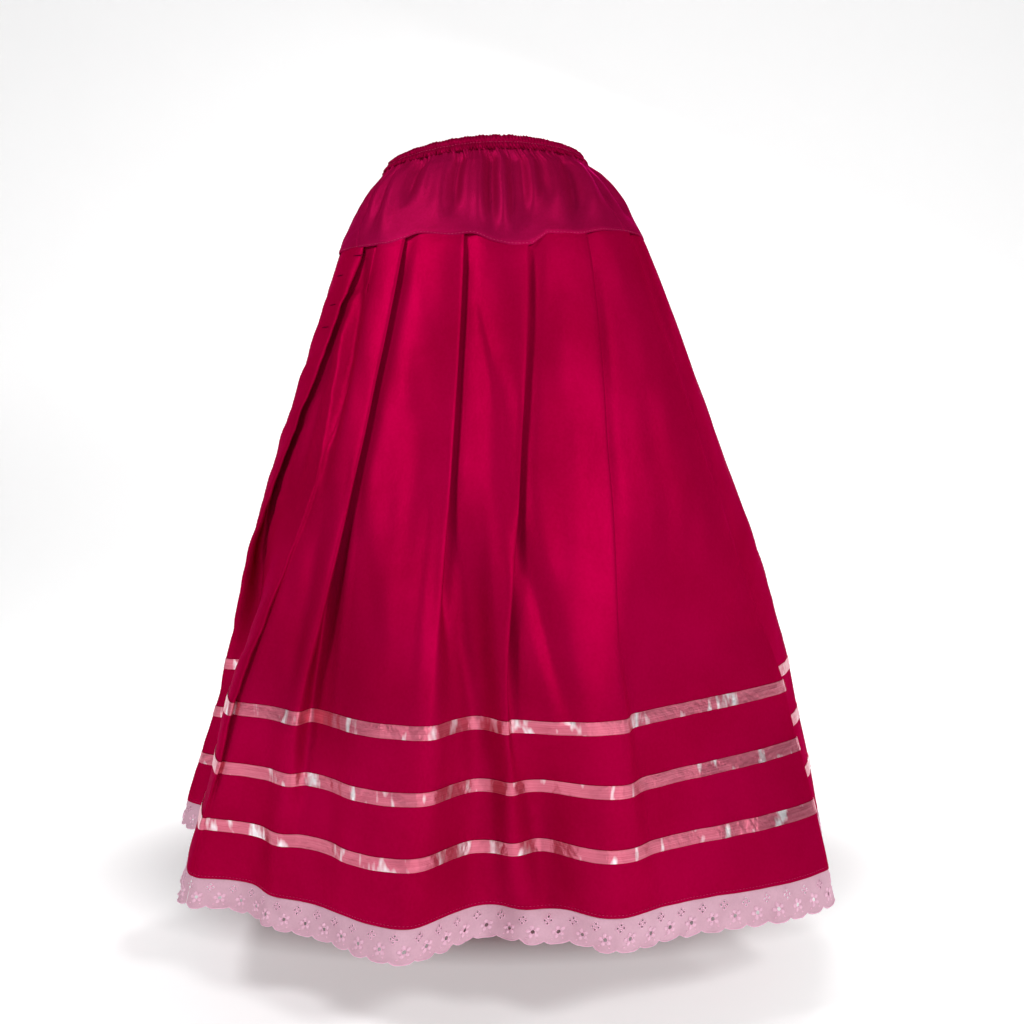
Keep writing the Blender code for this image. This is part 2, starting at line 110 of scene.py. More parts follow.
# %% Helpers for shader nodes
def set_inputs(tree, node, **inputs):
    """Fills a node's inputs by name, with _ for a space. A value that is a socket is linked."""
    for title, value in inputs.items():
        socket = node.inputs[title.replace("_", " ")]
        if isinstance(value, bpy.types.NodeSocket):
            tree.links.new(value, socket)
        else:
            socket.default_value = value
    return node


def add_node(tree, kind, **inputs):
    return set_inputs(tree, tree.nodes.new("ShaderNode" + kind), **inputs)


def mix_colours(tree, factor, low, high, blend="MIX"):
    node = add_node(tree, "Mix")
    node.data_type, node.blend_type = "RGBA", blend
    return set_inputs(tree, node, Factor=factor, A=low, B=high).outputs["Result"]


def new_material(name):
    """A material, its node tree and its shader."""
    material = bpy.data.materials.new(name)
    material.use_nodes = True
    return material, material.node_tree, material.node_tree.nodes["Principled BSDF"]


# %% [markdown]
# The floor is plain and pale, and it curves up into a wall behind, as a studio's paper roll does, so that
# no line crosses the picture. It lies 12 cm below the hem, because the skirt hangs free. The paper glows,
# except in an oval round the skirt, which is painted shade: there the paper is dark, as in the skirt's
# shadow, so it shows dark through the eyelets and doesn't light the folds from below.

# %% Floor
FLOOR_DEPTH = 1.06
FLOOR_REACH, WALL_REACH, ROLL_RADIUS, ROLL_STEPS = 6.0, 3.2, 1.0, 12
GLOW_STRENGTH = 0.45
PAINTED_SHADE_PLACE, PAINTED_SHADE_SCALE = (0.0, -0.35, 0.0), (0.62, 1.0, 0.0)
GLOW_FROM, GLOW_FULL, GLOW_IN_PAINTED_SHADE = 0.31, 0.42, 0.05
PAPER_GRAIN, PAPER_LOW, PAPER_HIGH = 6.0, (0.88, 0.88, 0.88, 1.0), (0.92, 0.92, 0.92, 1.0)


def paper_material():
    """White paper that glows a little, as a lit backdrop does, except in an oval round the skirt: painted
    shade.
    """
    material, tree, shader = new_material("studio_paper")
    place = add_node(tree, "TexCoord").outputs["Object"]
    oval = add_node(tree, "Mapping", Vector=place, Location=PAINTED_SHADE_PLACE, Scale=PAINTED_SHADE_SCALE)
    reach = add_node(tree, "VectorMath", Vector=oval.outputs["Vector"])
    reach.operation = "LENGTH"
    # painted shade: the paper's glow drops nearly to nothing in an oval round the skirt
    glow = add_node(tree, "MapRange", From_Min=GLOW_FROM, From_Max=GLOW_FULL, To_Min=GLOW_IN_PAINTED_SHADE)
    set_inputs(tree, glow, Value=reach.outputs["Value"])
    grain = add_node(tree, "TexNoise", Scale=PAPER_GRAIN)
    paper = mix_colours(tree, grain.outputs["Fac"], PAPER_LOW, PAPER_HIGH)
    set_inputs(tree, shader, Base_Color=paper, Roughness=0.9, Specular_IOR_Level=0.0)
    set_inputs(tree, shader, Emission_Color=glow.outputs["Result"], Emission_Strength=GLOW_STRENGTH)
    return material


def add_floor():
    profile = [(-FLOOR_REACH, 0.0), (WALL_REACH - ROLL_RADIUS, 0.0)]
    for step in range(1, ROLL_STEPS + 1):
        turn = math.pi / 2 * step / ROLL_STEPS
        profile.append((WALL_REACH - ROLL_RADIUS * (1 - math.sin(turn)), ROLL_RADIUS * (1 - math.cos(turn))))
    profile.append((WALL_REACH, FLOOR_REACH))
    points = [(x, y, z - FLOOR_DEPTH) for y, z in profile for x in (-FLOOR_REACH, FLOOR_REACH)]
    faces = [(2 * i, 2 * i + 1, 2 * i + 3, 2 * i + 2) for i in range(len(profile) - 1)]
    mesh = bpy.data.meshes.new("floor")
    mesh.from_pydata(points, [], faces)
    mesh.shade_smooth()
    mesh.materials.append(paper_material())
    floor = bpy.data.objects.new("floor", mesh)
    bpy.context.scene.collection.objects.link(floor)
    print("floor at", -FLOOR_DEPTH)


add_floor()

# %% [markdown]
# A garment pattern is drawn flat, and its cloth takes its form when it is worn. Here a table gives the worn
# form: how wide and how deep it is at each drop below the waist. Smooth curves run through the table's
# rows. A place along a ring is its distance from the centre front, and a share is that place divided by the
# ring's girth. A cloth point is then a share, a drop and how far it stands off the form. The long tables
# are in thousandths of a metre, or of the ring where they give shares.

# %% Sizes of the skirt
def table(kind, *rows):
    """Named rows of a table, turned from thousandths into metres or shares."""
    return tuple(kind(*(value if isinstance(value, str) else value / 1000 for value in row)) for row in rows)


SEAM_DROP = 0.125
SEAM_LAP = 0.004
HEM_DROP = 0.897
RIBBON_WIDTH = 0.015
RIBBON_DROPS = {"top": 0.676, "middle": 0.748, "low": 0.820}
CASING_HEIGHT = 0.0178
WAIST_SIDE_DROP, WAIST_ROLL = 0.010, 0.006
LACE_REPEAT, LACE_DEPTH, SCALLOP_DEPTH = 0.028, 0.040, 0.0042
EYELET_RADIUS, EYELET_DROP = 0.0026, 0.0245

Ring = namedtuple("Ring", "drop half_width front back middle_x middle_y")
FORM = table(
    Ring,
    (0, 120, 92, 92, -4, 0), (18, 128, 98, 98, -1, 0), (30, 140, 103, 105, 3, 0),
    (48, 157, 112, 115, 3, 0), (80, 177, 126, 130, 5, 0), (133, 201, 147, 150, 7, 0),
    (200, 225, 172, 176, 9, 0), (330, 270, 222, 232, 12, 4), (460, 315, 270, 286, 14, 20),
    (600, 362, 316, 340, 16, 38), (680, 393, 334, 375, 18, 50), (750, 411, 338, 398, 17, 62),
    (820, 432, 340, 420, 15, 78), (945, 466, 342, 456, 14, 104),
)
FORM_LEVELS, FORM_STEPS = 189, 1440
FORM_NEAR = 1.5 / FORM_STEPS

# %% Small functions that the shapes share
def ramp(x):
    """A value held between 0 and 1."""
    return np.clip(x, 0, 1)


def bell(x):
    return np.exp(-(x**2))


def unit(vectors):
    """Vectors along the last axis, made one long."""
    return vectors / np.maximum(np.linalg.norm(vectors, axis=-1, keepdims=True), 1e-12)


def running(steps):
    """Running sums along the last axis, from 0."""
    steps = np.asarray(steps)
    return np.concatenate([np.zeros(steps.shape[:-1] + (1,)), np.cumsum(steps, axis=-1)], axis=-1)


def hermite(a, b, out, back, t):
    """The curve from a, leaving with slope out, to b, arriving with slope back."""
    start = a * (1 + 2 * t) * (1 - t) ** 2 + out * t * (1 - t) ** 2
    return start + b * t * t * (3 - 2 * t) + back * t * t * (t - 1)


def wave(share, turns, start=0.0):
    """A sine that makes this many turns round the ring."""
    return np.sin(2 * math.pi * (turns * share + start))


# %% The form
def through(xs, ys, x):
    """Smooth curve through the points (xs, ys), with no overshoot."""
    xs, ys, x = np.asarray(xs, float), np.asarray(ys, float), np.asarray(x, float)
    gaps = np.diff(xs)
    slopes = np.diff(ys) / gaps
    tangents = np.concatenate([slopes[:1], np.zeros(len(slopes) - 1), slopes[-1:]])
    for i, turn in enumerate(slopes[:-1] * slopes[1:]):
        if turn > 0:
            tangents[i + 1] = 2 * turn / (slopes[i] + slopes[i + 1])
    i = np.clip(np.searchsorted(xs, x) - 1, 0, len(gaps) - 1)
    return hermite(ys[i], ys[i + 1], tangents[i] * gaps[i], tangents[i + 1] * gaps[i], (x - xs[i]) / gaps[i])


def form_tables():
    """Points of the form at even drops and even shares of the ring, and each drop's girth."""
    drops = np.linspace(FORM[0].drop, FORM[-1].drop, FORM_LEVELS)
    column = {name: [getattr(ring, name) for ring in FORM] for name in Ring._fields}
    turn = np.linspace(0.0, 2 * math.pi, FORM_STEPS + 1)
    shares = np.linspace(0.0, 1.0, FORM_STEPS + 1)
    xs, ys, girths = [], [], []
    for drop in drops:
        half_width, front, back, middle_x, middle_y = (
            through(column["drop"], column[name], drop) for name in Ring._fields[1:]
        )
        reach = np.where(np.cos(turn) > 0, front + middle_y, back - middle_y)
        x = middle_x + half_width * np.sin(turn)
        y = middle_y - reach * np.cos(turn)
        run = running(np.hypot(np.diff(x), np.diff(y)))
        xs.append(np.interp(shares * run[-1], run, x))
        ys.append(np.interp(shares * run[-1], run, y))
        girths.append(run[-1])
    return drops, np.array(xs), np.array(ys), np.array(girths)


FORM_DROPS, FORM_X, FORM_Y, GIRTHS = form_tables()


def girth(drop):
    return np.interp(drop, FORM_DROPS, GIRTHS)


print("girth at the yoke seam:", round(float(girth(SEAM_DROP)), 3))
print("girth at the hem:", round(float(girth(HEM_DROP)), 3))

# %% Points on and off the form
def on_form(share, drop):
    """Points (x, y) of the form at these shares and drops."""
    along = (np.asarray(share) % 1.0) * FORM_STEPS
    down = np.clip((np.asarray(drop) - FORM_DROPS[0]) / (FORM_DROPS[1] - FORM_DROPS[0]), 0, FORM_LEVELS - 1)
    i, j = np.minimum(down.astype(int), FORM_LEVELS - 2), np.minimum(along.astype(int), FORM_STEPS - 1)
    u, v = down - i, along - j
    corners = (
        (i, j, (1 - u) * (1 - v)),
        (i + 1, j, u * (1 - v)),
        (i, j + 1, (1 - u) * v),
        (i + 1, j + 1, u * v),
    )
    x, y = (sum(weight * field[row, step] for row, step, weight in corners) for field in (FORM_X, FORM_Y))
    return np.stack([x, y], axis=-1)


def off_form(share, drop, off):
    """Points (x, y) that stand off the form by this much."""
    along = on_form(np.asarray(share) + FORM_NEAR, drop) - on_form(np.asarray(share) - FORM_NEAR, drop)
    out = unit(np.stack([along[..., 1], -along[..., 0]], axis=-1))
    return on_form(share, drop) + out * np.asarray(off)[..., None]


# %% [markdown]
# The waist is not level: it rises a little to one side, and the seam between yoke and skirt waves up and
# down, because the yoke is gathered by hand. These two tables shift every level row of the cloth.

# %% The slant of the waist and the wavy seam
SeamPoint = namedtuple("SeamPoint", "place dip")
SEAM_LINE = table(
    SeamPoint,
    (-552, 0), (-300, 6), (-160, 10), (-134, 10), (-107, 4.2), (-90, -0.4),
    (-48, 4), (-26, 1.8), (4, 12.9), (26, 16.5), (43, 15.4), (55, 8),
    (68, 0.4), (100, 0), (145, -8.5), (200, -11.5), (350, -6), (552, 0),
)
SHIFT_FADES_AT, SHIFT_FADE_POWER = 0.480, 1.5


def waist_shift(share):
    """How much lower than the centre front the waist lies at this share of the ring."""
    side = wave(share, 1)
    return WAIST_SIDE_DROP * side**2 - WAIST_ROLL * side


def seam_shift(share):
    """How much lower than its level line the yoke seam lies at this share of the ring."""
    places = ((np.asarray(share) + 0.5) % 1.0 - 0.5) * girth(SEAM_DROP)
    places = np.clip(places, SEAM_LINE[0].place, SEAM_LINE[-1].place)
    return through([point.place for point in SEAM_LINE], [point.dip for point in SEAM_LINE], places)


def shifted(share, drop):
    """The true drop of a point whose row has this level drop."""
    down = ramp((drop - CASING_HEIGHT) / (SEAM_DROP - CASING_HEIGHT))
    fade = ramp((SHIFT_FADES_AT - drop) / (SHIFT_FADES_AT - SEAM_DROP))
    return drop + (1 - down) * waist_shift(share) + down * fade**SHIFT_FADE_POWER * seam_shift(share)


def worn(share, drop, off):
    """Cloth points (x, y, z) at these shares and level drops, this far off the form."""
    true_drop = shifted(share, drop)
    return np.concatenate([off_form(share, true_drop, off), -true_drop[..., None]], axis=-1)


# %% [markdown]
# Each knife pleat is set out at four drops: the yoke seam, the thigh, the top ribbon and the hem. At the
# seam 45 mm of cloth is tucked under a fold, and less under the first two, which open late. Further down
# the tuck runs out and the fold opens into a wave. The values between the four drops follow smooth curves,
# so that the folds fall as cloth does.

# %% The pleats
STATION_DROPS = (0.125, 0.400, 0.680, 0.917)
Pleat = namedtuple(
    "Pleat",
    "name seam_at mid_at ribbon_at hem_at under_ribbon under_hem step_ribbon step_hem"
    " lift_ribbon lift_hem sag_ribbon sag_hem",
)
PLEATS = table(
    Pleat,
    ("A", -156, -227, -325, -425, 10, -16, 8, 2, 27, 14, 11, 28),
    ("B", -108, -167, -234, -283, 6, -24, 29, 6, 12, -15, -10, 7),
    ("C", -34, -54, -69, -94, -12, -35, 32, 52, 15, 11, 30, 32),
    ("D", 41, 26, 12, 50, 6, -30, 15, 2, -12, -52, -10, 0),
    ("E", 118, 130, 143, 153, -12, -48, 23, 13, -1, -12, 26, 8),
    ("F", 196, 294, 464, 451, -9, -29, 32, 47, -7, 30, -10, 10),
    ("G", 264, 417, 751, 800, -3, -30, 20, 30, 23, 10, 6, 10),
    ("H", 357, 545, 845, 965, -3, -30, 12, 4, 4, -32, 4, 4),
    ("I", 450, 680, 975, 1105, 3, -45, 16, 45, 10, 12, 16, 20),
    ("J", 543, 835, 1130, 1280, -4, -30, 12, 4, 2, -34, 4, 2),
    ("K", 635, 965, 1262, 1425, 3, -45, 18, 50, 10, 12, 20, 22),
    ("L", 728, 1115, 1415, 1590, -3, -30, 12, 4, 0, -36, 4, 4),
    ("M", 821, 1262, 1580, 1775, -4, -40, 18, 34, 8, 6, 12, 14),
    ("N", 914, 1405, 1740, 1952, -5, -31, 38, 38, -5, 8, 25, 25),
)
SEAM_UNDER, MID_UNDER = 0.045, 0.028
SHORT_TUCKS = {"A": (-0.012, -0.006), "B": (0.035, 0.028)}
SEAM_STEP, MID_STEP = 0.0030, 0.0048
SEAM_LIFT, MID_LIFT = 0.0011, 0.0028
LATE_FOLD, LATE_STEPS, LATE_LIFTS = "A", (0.0003, 0.0022), (-0.0020, 0.0012)  # it rises lower down
FOOT_GAP, SHOULDER, OPEN_SHOULDER, OPEN_WIDTH = 0.003, 0.003, 0.020, 0.030
LEFT_SEAM, RIGHT_SEAM, ALL_ROUND = 0, 5, 14

PanelPoint = namedtuple("PanelPoint", "across rise sag")
PANEL = (
    PanelPoint(0.00, 0.00, 0.05),
    PanelPoint(0.30, 0.20, 0.80),
    PanelPoint(0.66, 0.70, 0.85),
    PanelPoint(1.00, 1.00, 0.10),
)
print("pleats:", len(PLEATS))

# %% One level section of the pleated cloth
def at_stations(pleat, drop):
    """One pleat's share of the ring, tuck, step, lift and sag at this drop."""
    places = (pleat.seam_at, pleat.mid_at, pleat.ribbon_at, pleat.hem_at)
    seam_under, mid_under = SHORT_TUCKS.get(pleat.name, (SEAM_UNDER, MID_UNDER))
    late = pleat.name == LATE_FOLD
    rows = (
        [place / girth(station) for place, station in zip(places, STATION_DROPS)],
        (seam_under, mid_under, pleat.under_ribbon, pleat.under_hem),
        (*(LATE_STEPS if late else (SEAM_STEP, MID_STEP)), pleat.step_ribbon, pleat.step_hem),
        (*(LATE_LIFTS if late else (SEAM_LIFT, MID_LIFT)), pleat.lift_ribbon, pleat.lift_hem),
        (0.0, 0.0, pleat.sag_ribbon, pleat.sag_hem),
    )
    return [float(through(STATION_DROPS, row, drop)) for row in rows]


def fold_points(place, under, step, lift):
    """The four corners of a fold, as (place, off): over its edge, under it, and round the inner fold."""
    opened = max(-under, 0.0)
    return [
        (place, lift),
        (place + opened / 3, lift - step / 3),
        (place - max(under, 0.0) + 2 * opened / 3, lift - 2 * step / 3),
        (place - under, lift - step),
    ]


def section(first, last, drop):
    """Points (place, off) from the fold of pleat first to the fold of pleat last, at one drop."""
    around = girth(drop)
    folds = []
    for number in range(first, last + 1):
        share, *values = at_stations(PLEATS[number % len(PLEATS)], drop)
        folds.append(((share + number // len(PLEATS)) * around, *values))
    points = fold_points(*folds[0][:4])
    for (place, under, step, lift, sag), following in zip(folds, folds[1:]):
        next_place, next_under, next_step, next_lift, _ = following
        start = place + max(-under, 0.0) + FOOT_GAP
        opened = min(max(-next_under, 0.0) / OPEN_WIDTH, 1.0)
        end = next_place - max(next_under, 0.0) - SHOULDER - OPEN_SHOULDER * opened
        for point in PANEL:
            off = (lift - step) + (next_lift - lift + step) * point.rise - sag * point.sag
            points.append((start + (end - start) * point.across, off))
        points += fold_points(next_place, next_under, next_step, next_lift)
    return np.array(points)


# %% [markdown]
# The CAD solid joins those points with flat facets. Cloth bends in curves, so here a centripetal
# Catmull-Rom curve runs through the same points. That kind of curve passes through each point and never
# loops on itself, which keeps a pressed fold crisp and lets an open one roll.

# %% A curve through the points of a section
SPAN_STEPS = (3, 6, 3, 4, 7, 8, 7, 6)


def rounded(points, steps):
    """Centripetal curves through rows of points, with steps[i] samples on span i."""
    moves = np.diff(points, axis=1)
    knots = np.sqrt(np.linalg.norm(moves, axis=2, keepdims=True))
    chords = moves / knots
    wide = (points[:, 2:] - points[:, :-2]) / (knots[:, 1:] + knots[:, :-1])
    inner = chords[:, :-1] - wide + chords[:, 1:]
    slopes = np.concatenate([chords[:, :1], inner, chords[:, -1:]], axis=1)
    curve = []
    for i, count in enumerate(steps):
        t = (np.arange(count) / count)[None, :, None]
        a, b, knot = points[:, i : i + 1], points[:, i + 1 : i + 2], knots[:, i : i + 1]
        out, back = slopes[:, i : i + 1] * knot, slopes[:, i + 1 : i + 2] * knot
        curve.append(hermite(a, b, out, back, t))
    return np.concatenate(curve + [points[:, -1:]], axis=1)


# %% [markdown]
# Below the thigh the folds are no longer pressed, so their corners have to melt into waves. Each section
# there is softened along its own length with a bell-shaped weight that widens towards the hem.

# %% Softening the open folds
SOFTENING_DROPS = (0.0, 0.440, 0.640, 0.760, 1.000)
SOFTENING_REACH = (0.0, 0.0, 0.0085, 0.0110, 0.0120)
Firm = namedtuple("Firm", "share width keeps")
FIRM_FOLDS = (Firm(-0.148, 0.016, 0.8), Firm(-0.215, 0.020, 0.7), Firm(0.208, 0.030, 0.5))


def softened(curve, drops):
    """Each row of (place, off) points averaged over its neighbours along the row."""
    result = curve.copy()
    for row, reach in enumerate(np.interp(drops, SOFTENING_DROPS, SOFTENING_REACH)):
        if reach > 1e-4:
            points = curve[row]
            run = running(np.linalg.norm(np.diff(points, axis=0), axis=1))
            reaches = np.full(len(run), reach)
            for firm in FIRM_FOLDS:
                away = (points[:, 0] / girth(drops[row]) - firm.share + 0.5) % 1.0 - 0.5
                reaches = reaches * (1 - firm.keeps * bell(away / firm.width))
            apart = (run[:, None] - run[None, :]) / reaches[:, None]
            weights = np.exp(-0.5 * apart**2) * np.gradient(run)
            result[row] = weights @ points / weights.sum(axis=1, keepdims=True)
    return result


# %% [markdown]
# Pressed and worn cloth is never even. Its larger creases are given in a table, as soft troughs and
# ridges, each with its own place, length, width and depth. Below them lies a low, drawn-out unevenness, and
# a shallow trough follows the foot of each fold, where the edge above presses the layer under it.

# %% Creases and soft relief
Crease = namedtuple("Crease", "top_place low_place top_drop low_drop width height")
CREASES = table(
    Crease,
    (-170, -214, 128, 380, 12, -12), (-222, -285, 240, 460, 14, -6),
    (-203, -232, 215, 440, 4.5, 2.6), (-168, -200, 380, 700, 5, 3),
    (-205, -262, 420, 700, 14, -4), (-22, 16, 190, 360, 6, -2.4),
    (-4, 34, 170, 360, 9, 1.8), (10, 20, 200, 520, 12, -3),
    (26, 80, 470, 690, 12, -8), (12, 34, 500, 670, 8, 3.4),
    (-74, -94, 420, 700, 9, 4), (-112, -150, 330, 640, 16, -2.6),
    (85, 98, 200, 520, 18, 1.8), (165, 235, 180, 560, 22, -1.8),
    (215, 330, 300, 640, 26, 2.2), (270, 300, 700, 900, 20, 2.2),
    (58, 64, 680, 905, 46, -32), (-50, -58, 680, 905, 40, -12),
    (-40, -60, 140, 700, 45, -14), (-190, -220, 640, 905, 26, -5),
    (-250, -262, 700, 900, 18, -2.4), (-120, -140, 740, 900, 20, 2),
    (480, 760, 200, 640, 16, -3.6), (560, 900, 240, 700, 14, 3),
    (640, 1060, 180, 560, 18, -3.2), (720, 1150, 300, 700, 14, 3.4),
    (800, 1320, 220, 640, 16, -3.4), (860, 1440, 320, 720, 15, 3),
)
FOOT_DEPTH, FOOT_WIDTH, FOOT_SAMPLES = 0.0058, 0.0125, (9, 12)
FOOT_DROPS, FOOT_SHARES = (0.120, 0.170, 0.480, 0.640), (0.1, 1.0, 1.0, 0.0)
RELIEF_HEIGHT, RELIEF_STARTS_OVER = 0.0007, 0.03
RELIEF = (0.0225, 0.080, 11, 16)  # across, down, seed and count of waves
CREASE_ENDS = 0.7


def uneven(u, v, across, down, seed, count):
    """Smooth unevenness of about -1 to 1, whose features have these sizes."""
    draw = np.random.default_rng(seed)
    total = 0.0
    for _ in range(count):
        per_across, per_down = draw.normal(0, 1 / across), draw.normal(0, 1 / down)
        total = total + np.sin(2 * (per_across * u + per_down * v) + draw.uniform(0, 2 * math.pi))
    return total * math.sqrt(1.0 / count)


def creased(place, drop, around):
    """How far creases and relief move the cloth outwards, on a ring that is this long."""
    off = RELIEF_HEIGHT * uneven(place, drop, *RELIEF)
    off = off * ramp((drop - SEAM_DROP) / RELIEF_STARTS_OVER)
    for crease in CREASES:
        along = ramp((drop - crease.top_drop) / (crease.low_drop - crease.top_drop))
        middle = crease.top_place + (crease.low_place - crease.top_place) * along
        away = (place - middle + around / 2) % around - around / 2
        profile = bell(away / crease.width)
        off = off + crease.height * profile * np.sin(math.pi * along) ** CREASE_ENDS
    return off


print("creases placed by hand:", len(CREASES))

# %% The skirt's cloth as a grid of points
SEAM_CAP, SEAM_CAP_RISE, SEAM_CAP_DEPTH = 0.0016, 0.30, 0.001
TUCK_UNDER, UNDER_SAMPLES, UNDER_RAMP = 0.0009, 2, 3


def skirt_cloth(first, last, drops, fineness=1, under=False):
    """The mid-surface of one pleated panel at these drops, from side seam to side seam: rows of points.

    With under, both ends run on a little way under the other panel.
    """
    sections = np.array([section(first - 1, last + 1, drop) for drop in drops])
    spans = [SPAN_STEPS[i % len(SPAN_STEPS)] * fineness for i in range(sections.shape[1] - 1)]
    curve = softened(rounded(sections, spans), drops)
    in_one_pleat = sum(SPAN_STEPS) * fineness
    start = in_one_pleat + spans[0] + spans[1] // 2
    extra = UNDER_SAMPLES * fineness if under else 0
    curve = curve[:, start - extra : start + (last - first) * in_one_pleat + 1 + extra]
    around = girth(drops)[:, None]
    places, off = curve[..., 0], curve[..., 1]
    drop = np.repeat(np.asarray(drops)[:, None], places.shape[1], axis=1)
    depth = FOOT_DEPTH * np.interp(drops, FOOT_DROPS, FOOT_SHARES)[:, None]
    sample = (np.arange(curve.shape[1]) + start - extra) / fineness
    for number, edge in enumerate(range(0, sections.shape[1], len(SPAN_STEPS))):
        if PLEATS[(first - 1 + number) % len(PLEATS)].name != LATE_FOLD:
            away = places - sections[:, edge, :1]
            lower_layer = np.interp(sample - number * sum(SPAN_STEPS), FOOT_SAMPLES, (0, 1))
            off = off - depth * lower_layer * bell(away / FOOT_WIDTH)
    off = off + creased(places, drop, around)
    off = np.minimum(off, SEAM_CAP + SEAM_CAP_RISE * np.maximum(drop - SEAM_DROP - SEAM_CAP_DEPTH, 0))
    if under:
        column = np.arange(curve.shape[1])
        from_end = np.minimum(column, column[::-1])
        off = off - TUCK_UNDER * ramp((extra + UNDER_RAMP - from_end) / UNDER_RAMP)
    return worn(places / around, drop, off)


def facing(grid):
    """Outward normals of a grid whose rows run down and whose columns run towards +X at the front."""
    return unit(np.cross(np.gradient(grid, axis=0), np.gradient(grid, axis=1)))


def run_along(grid):
    """Each point's distance along its row, from the row's middle column."""
    run = running(np.linalg.norm(np.diff(grid, axis=1), axis=2))
    return run - run[:, run.shape[1] // 2][:, None]


# %% [markdown]
# Every piece of cloth becomes a mesh in the same way: a grid of quads with a UV map in metres, so that the
# weave keeps its real size, and then a Solidify modifier for the thickness. Solidify is applied, and only
# edges sharper than 50 degrees stay sharp, so that the face of the cloth shades as one surface.

# %% From a grid to a piece of cloth
SHARP_ANGLE = math.radians(50)
pieces = {}


def add_mesh(name, points, faces, material, uvs=None):
    """A smooth piece with a UV map named cloth, which has one UV for each point where they are given."""
    mesh = bpy.data.meshes.new(name)
    faces = faces if isinstance(faces, list) else faces.tolist()
    mesh.from_pydata(np.asarray(points, float).tolist(), [], faces)
    layer = mesh.uv_layers.new(name="cloth")
    if uvs is not None:
        corners = np.empty(len(mesh.loops), dtype=np.int32)
        mesh.loops.foreach_get("vertex_index", corners)
        layer.data.foreach_set("uv", np.asarray(uvs, np.float32)[corners].ravel())
    mesh.shade_smooth()
    mesh.materials.append(material)
    pieces[name] = bpy.data.objects.new(name, mesh)
    bpy.context.scene.collection.objects.link(pieces[name])
    return pieces[name]


def grid_faces(rows, columns, closed=False):
    """Quads of a grid, facing outwards."""
    across = np.arange(columns if closed else columns - 1)
    row, column = np.meshgrid(np.arange(rows - 1), across, indexing="ij")
    a = row * columns + column
    d = row * columns + (column + 1) % columns
    return np.stack([a, a + columns, d + columns, d], axis=-1).reshape(-1, 4)


def select_only(piece):
    bpy.ops.object.select_all(action="DESELECT")
    bpy.context.view_layer.objects.active = piece
    piece.select_set(True)


def thickened(piece, thickness):
    """Gives a sheet its thickness, half to each side."""
    select_only(piece)
    solidify = piece.modifiers.new("thickness", "SOLIDIFY")
    solidify.thickness, solidify.offset = thickness, 0.0
    bpy.ops.object.modifier_apply(modifier=solidify.name)
    piece.select_set(False)
    piece.data.shade_smooth()
    piece.data.set_sharp_from_angle(angle=SHARP_ANGLE)
    return piece


def add_cloth(name, grid, thickness, material):
    """A thickened sheet from a grid of points. Its UV map is in metres."""
    rows, columns = grid.shape[:2]
    down = running(np.linalg.norm(np.diff(grid, axis=0), axis=2).mean(axis=1))
    uvs = np.stack([run_along(grid), np.repeat(-down[:, None], columns, axis=1)], axis=-1).reshape(-1, 2)
    piece = add_mesh(name, grid.reshape(-1, 3), grid_faces(rows, columns), material, uvs)
    return thickened(piece, thickness)


def cloth_area(piece):
    """Half the area of a thickened sheet, which is the area of the cloth."""
    area = sum(face.area for face in piece.data.polygons) / 2
    print(piece.name, round(area, 4), "m2,", len(piece.data.polygons), "faces")
    return area


# %% [markdown]
# The main cloth is a smooth polyester suiting in a deep magenta. It has a fine weave, and a soft sheen that
# comes and goes in patches, where its roughness changes and its colour is slightly paler, which is painted
# sheen. Two node groups hold what the finishes share: a weave that gives a height, and an uneven tint,
# partly painted sheen, that gives a mask.

# %% Node group for the weave
SLUB_SCALE = 420.0


def new_group(name, inputs, output):
    """A shader node group with these float inputs and one float output."""
    group = bpy.data.node_groups.new(name, "ShaderNodeTree")
    for title, value in inputs.items():
        socket = group.interface.new_socket(name=title, in_out="INPUT", socket_type="NodeSocketFloat")
        socket.default_value = value
    group.interface.new_socket(name=output, in_out="OUTPUT", socket_type="NodeSocketFloat")
    return group, group.nodes.new("NodeGroupInput"), group.nodes.new("NodeGroupOutput")


def math_node(tree, operation, first, second=None):
    """A Math node. Each input is a socket or a number."""
    node = add_node(tree, "Math")
    node.operation = operation
    for socket, value in zip(node.inputs, (first, second)):
        if isinstance(value, (int, float)):
            socket.default_value = value
        elif value is not None:
            tree.links.new(value, socket)
    return node.outputs[0]


def make_weave_group():
    """Threads over and under each other, from the UV map in metres."""
    group, start, end = new_group("woven_threads", {"Threads per Metre": 1800.0, "Slub": 0.35}, "Height")
    place = add_node(group, "UVMap").outputs["UV"]
    split = add_node(group, "SeparateXYZ", Vector=place)
    waves = []
    for axis in ("X", "Y"):
        turns = math_node(group, "MULTIPLY", split.outputs[axis], start.outputs["Threads per Metre"])
        waves.append(math_node(group, "SINE", math_node(group, "MULTIPLY", turns, math.pi)))
    slub = add_node(group, "TexNoise", Vector=place, Scale=SLUB_SCALE, Detail=3.0).outputs["Fac"]
    rough = math_node(group, "MULTIPLY", slub, start.outputs["Slub"])
    half = math_node(group, "MULTIPLY", math_node(group, "MULTIPLY", *waves), 0.5)
    set_inputs(group, end, Height=math_node(group, "ADD", half, rough))
    return group


weave_group = make_weave_group()

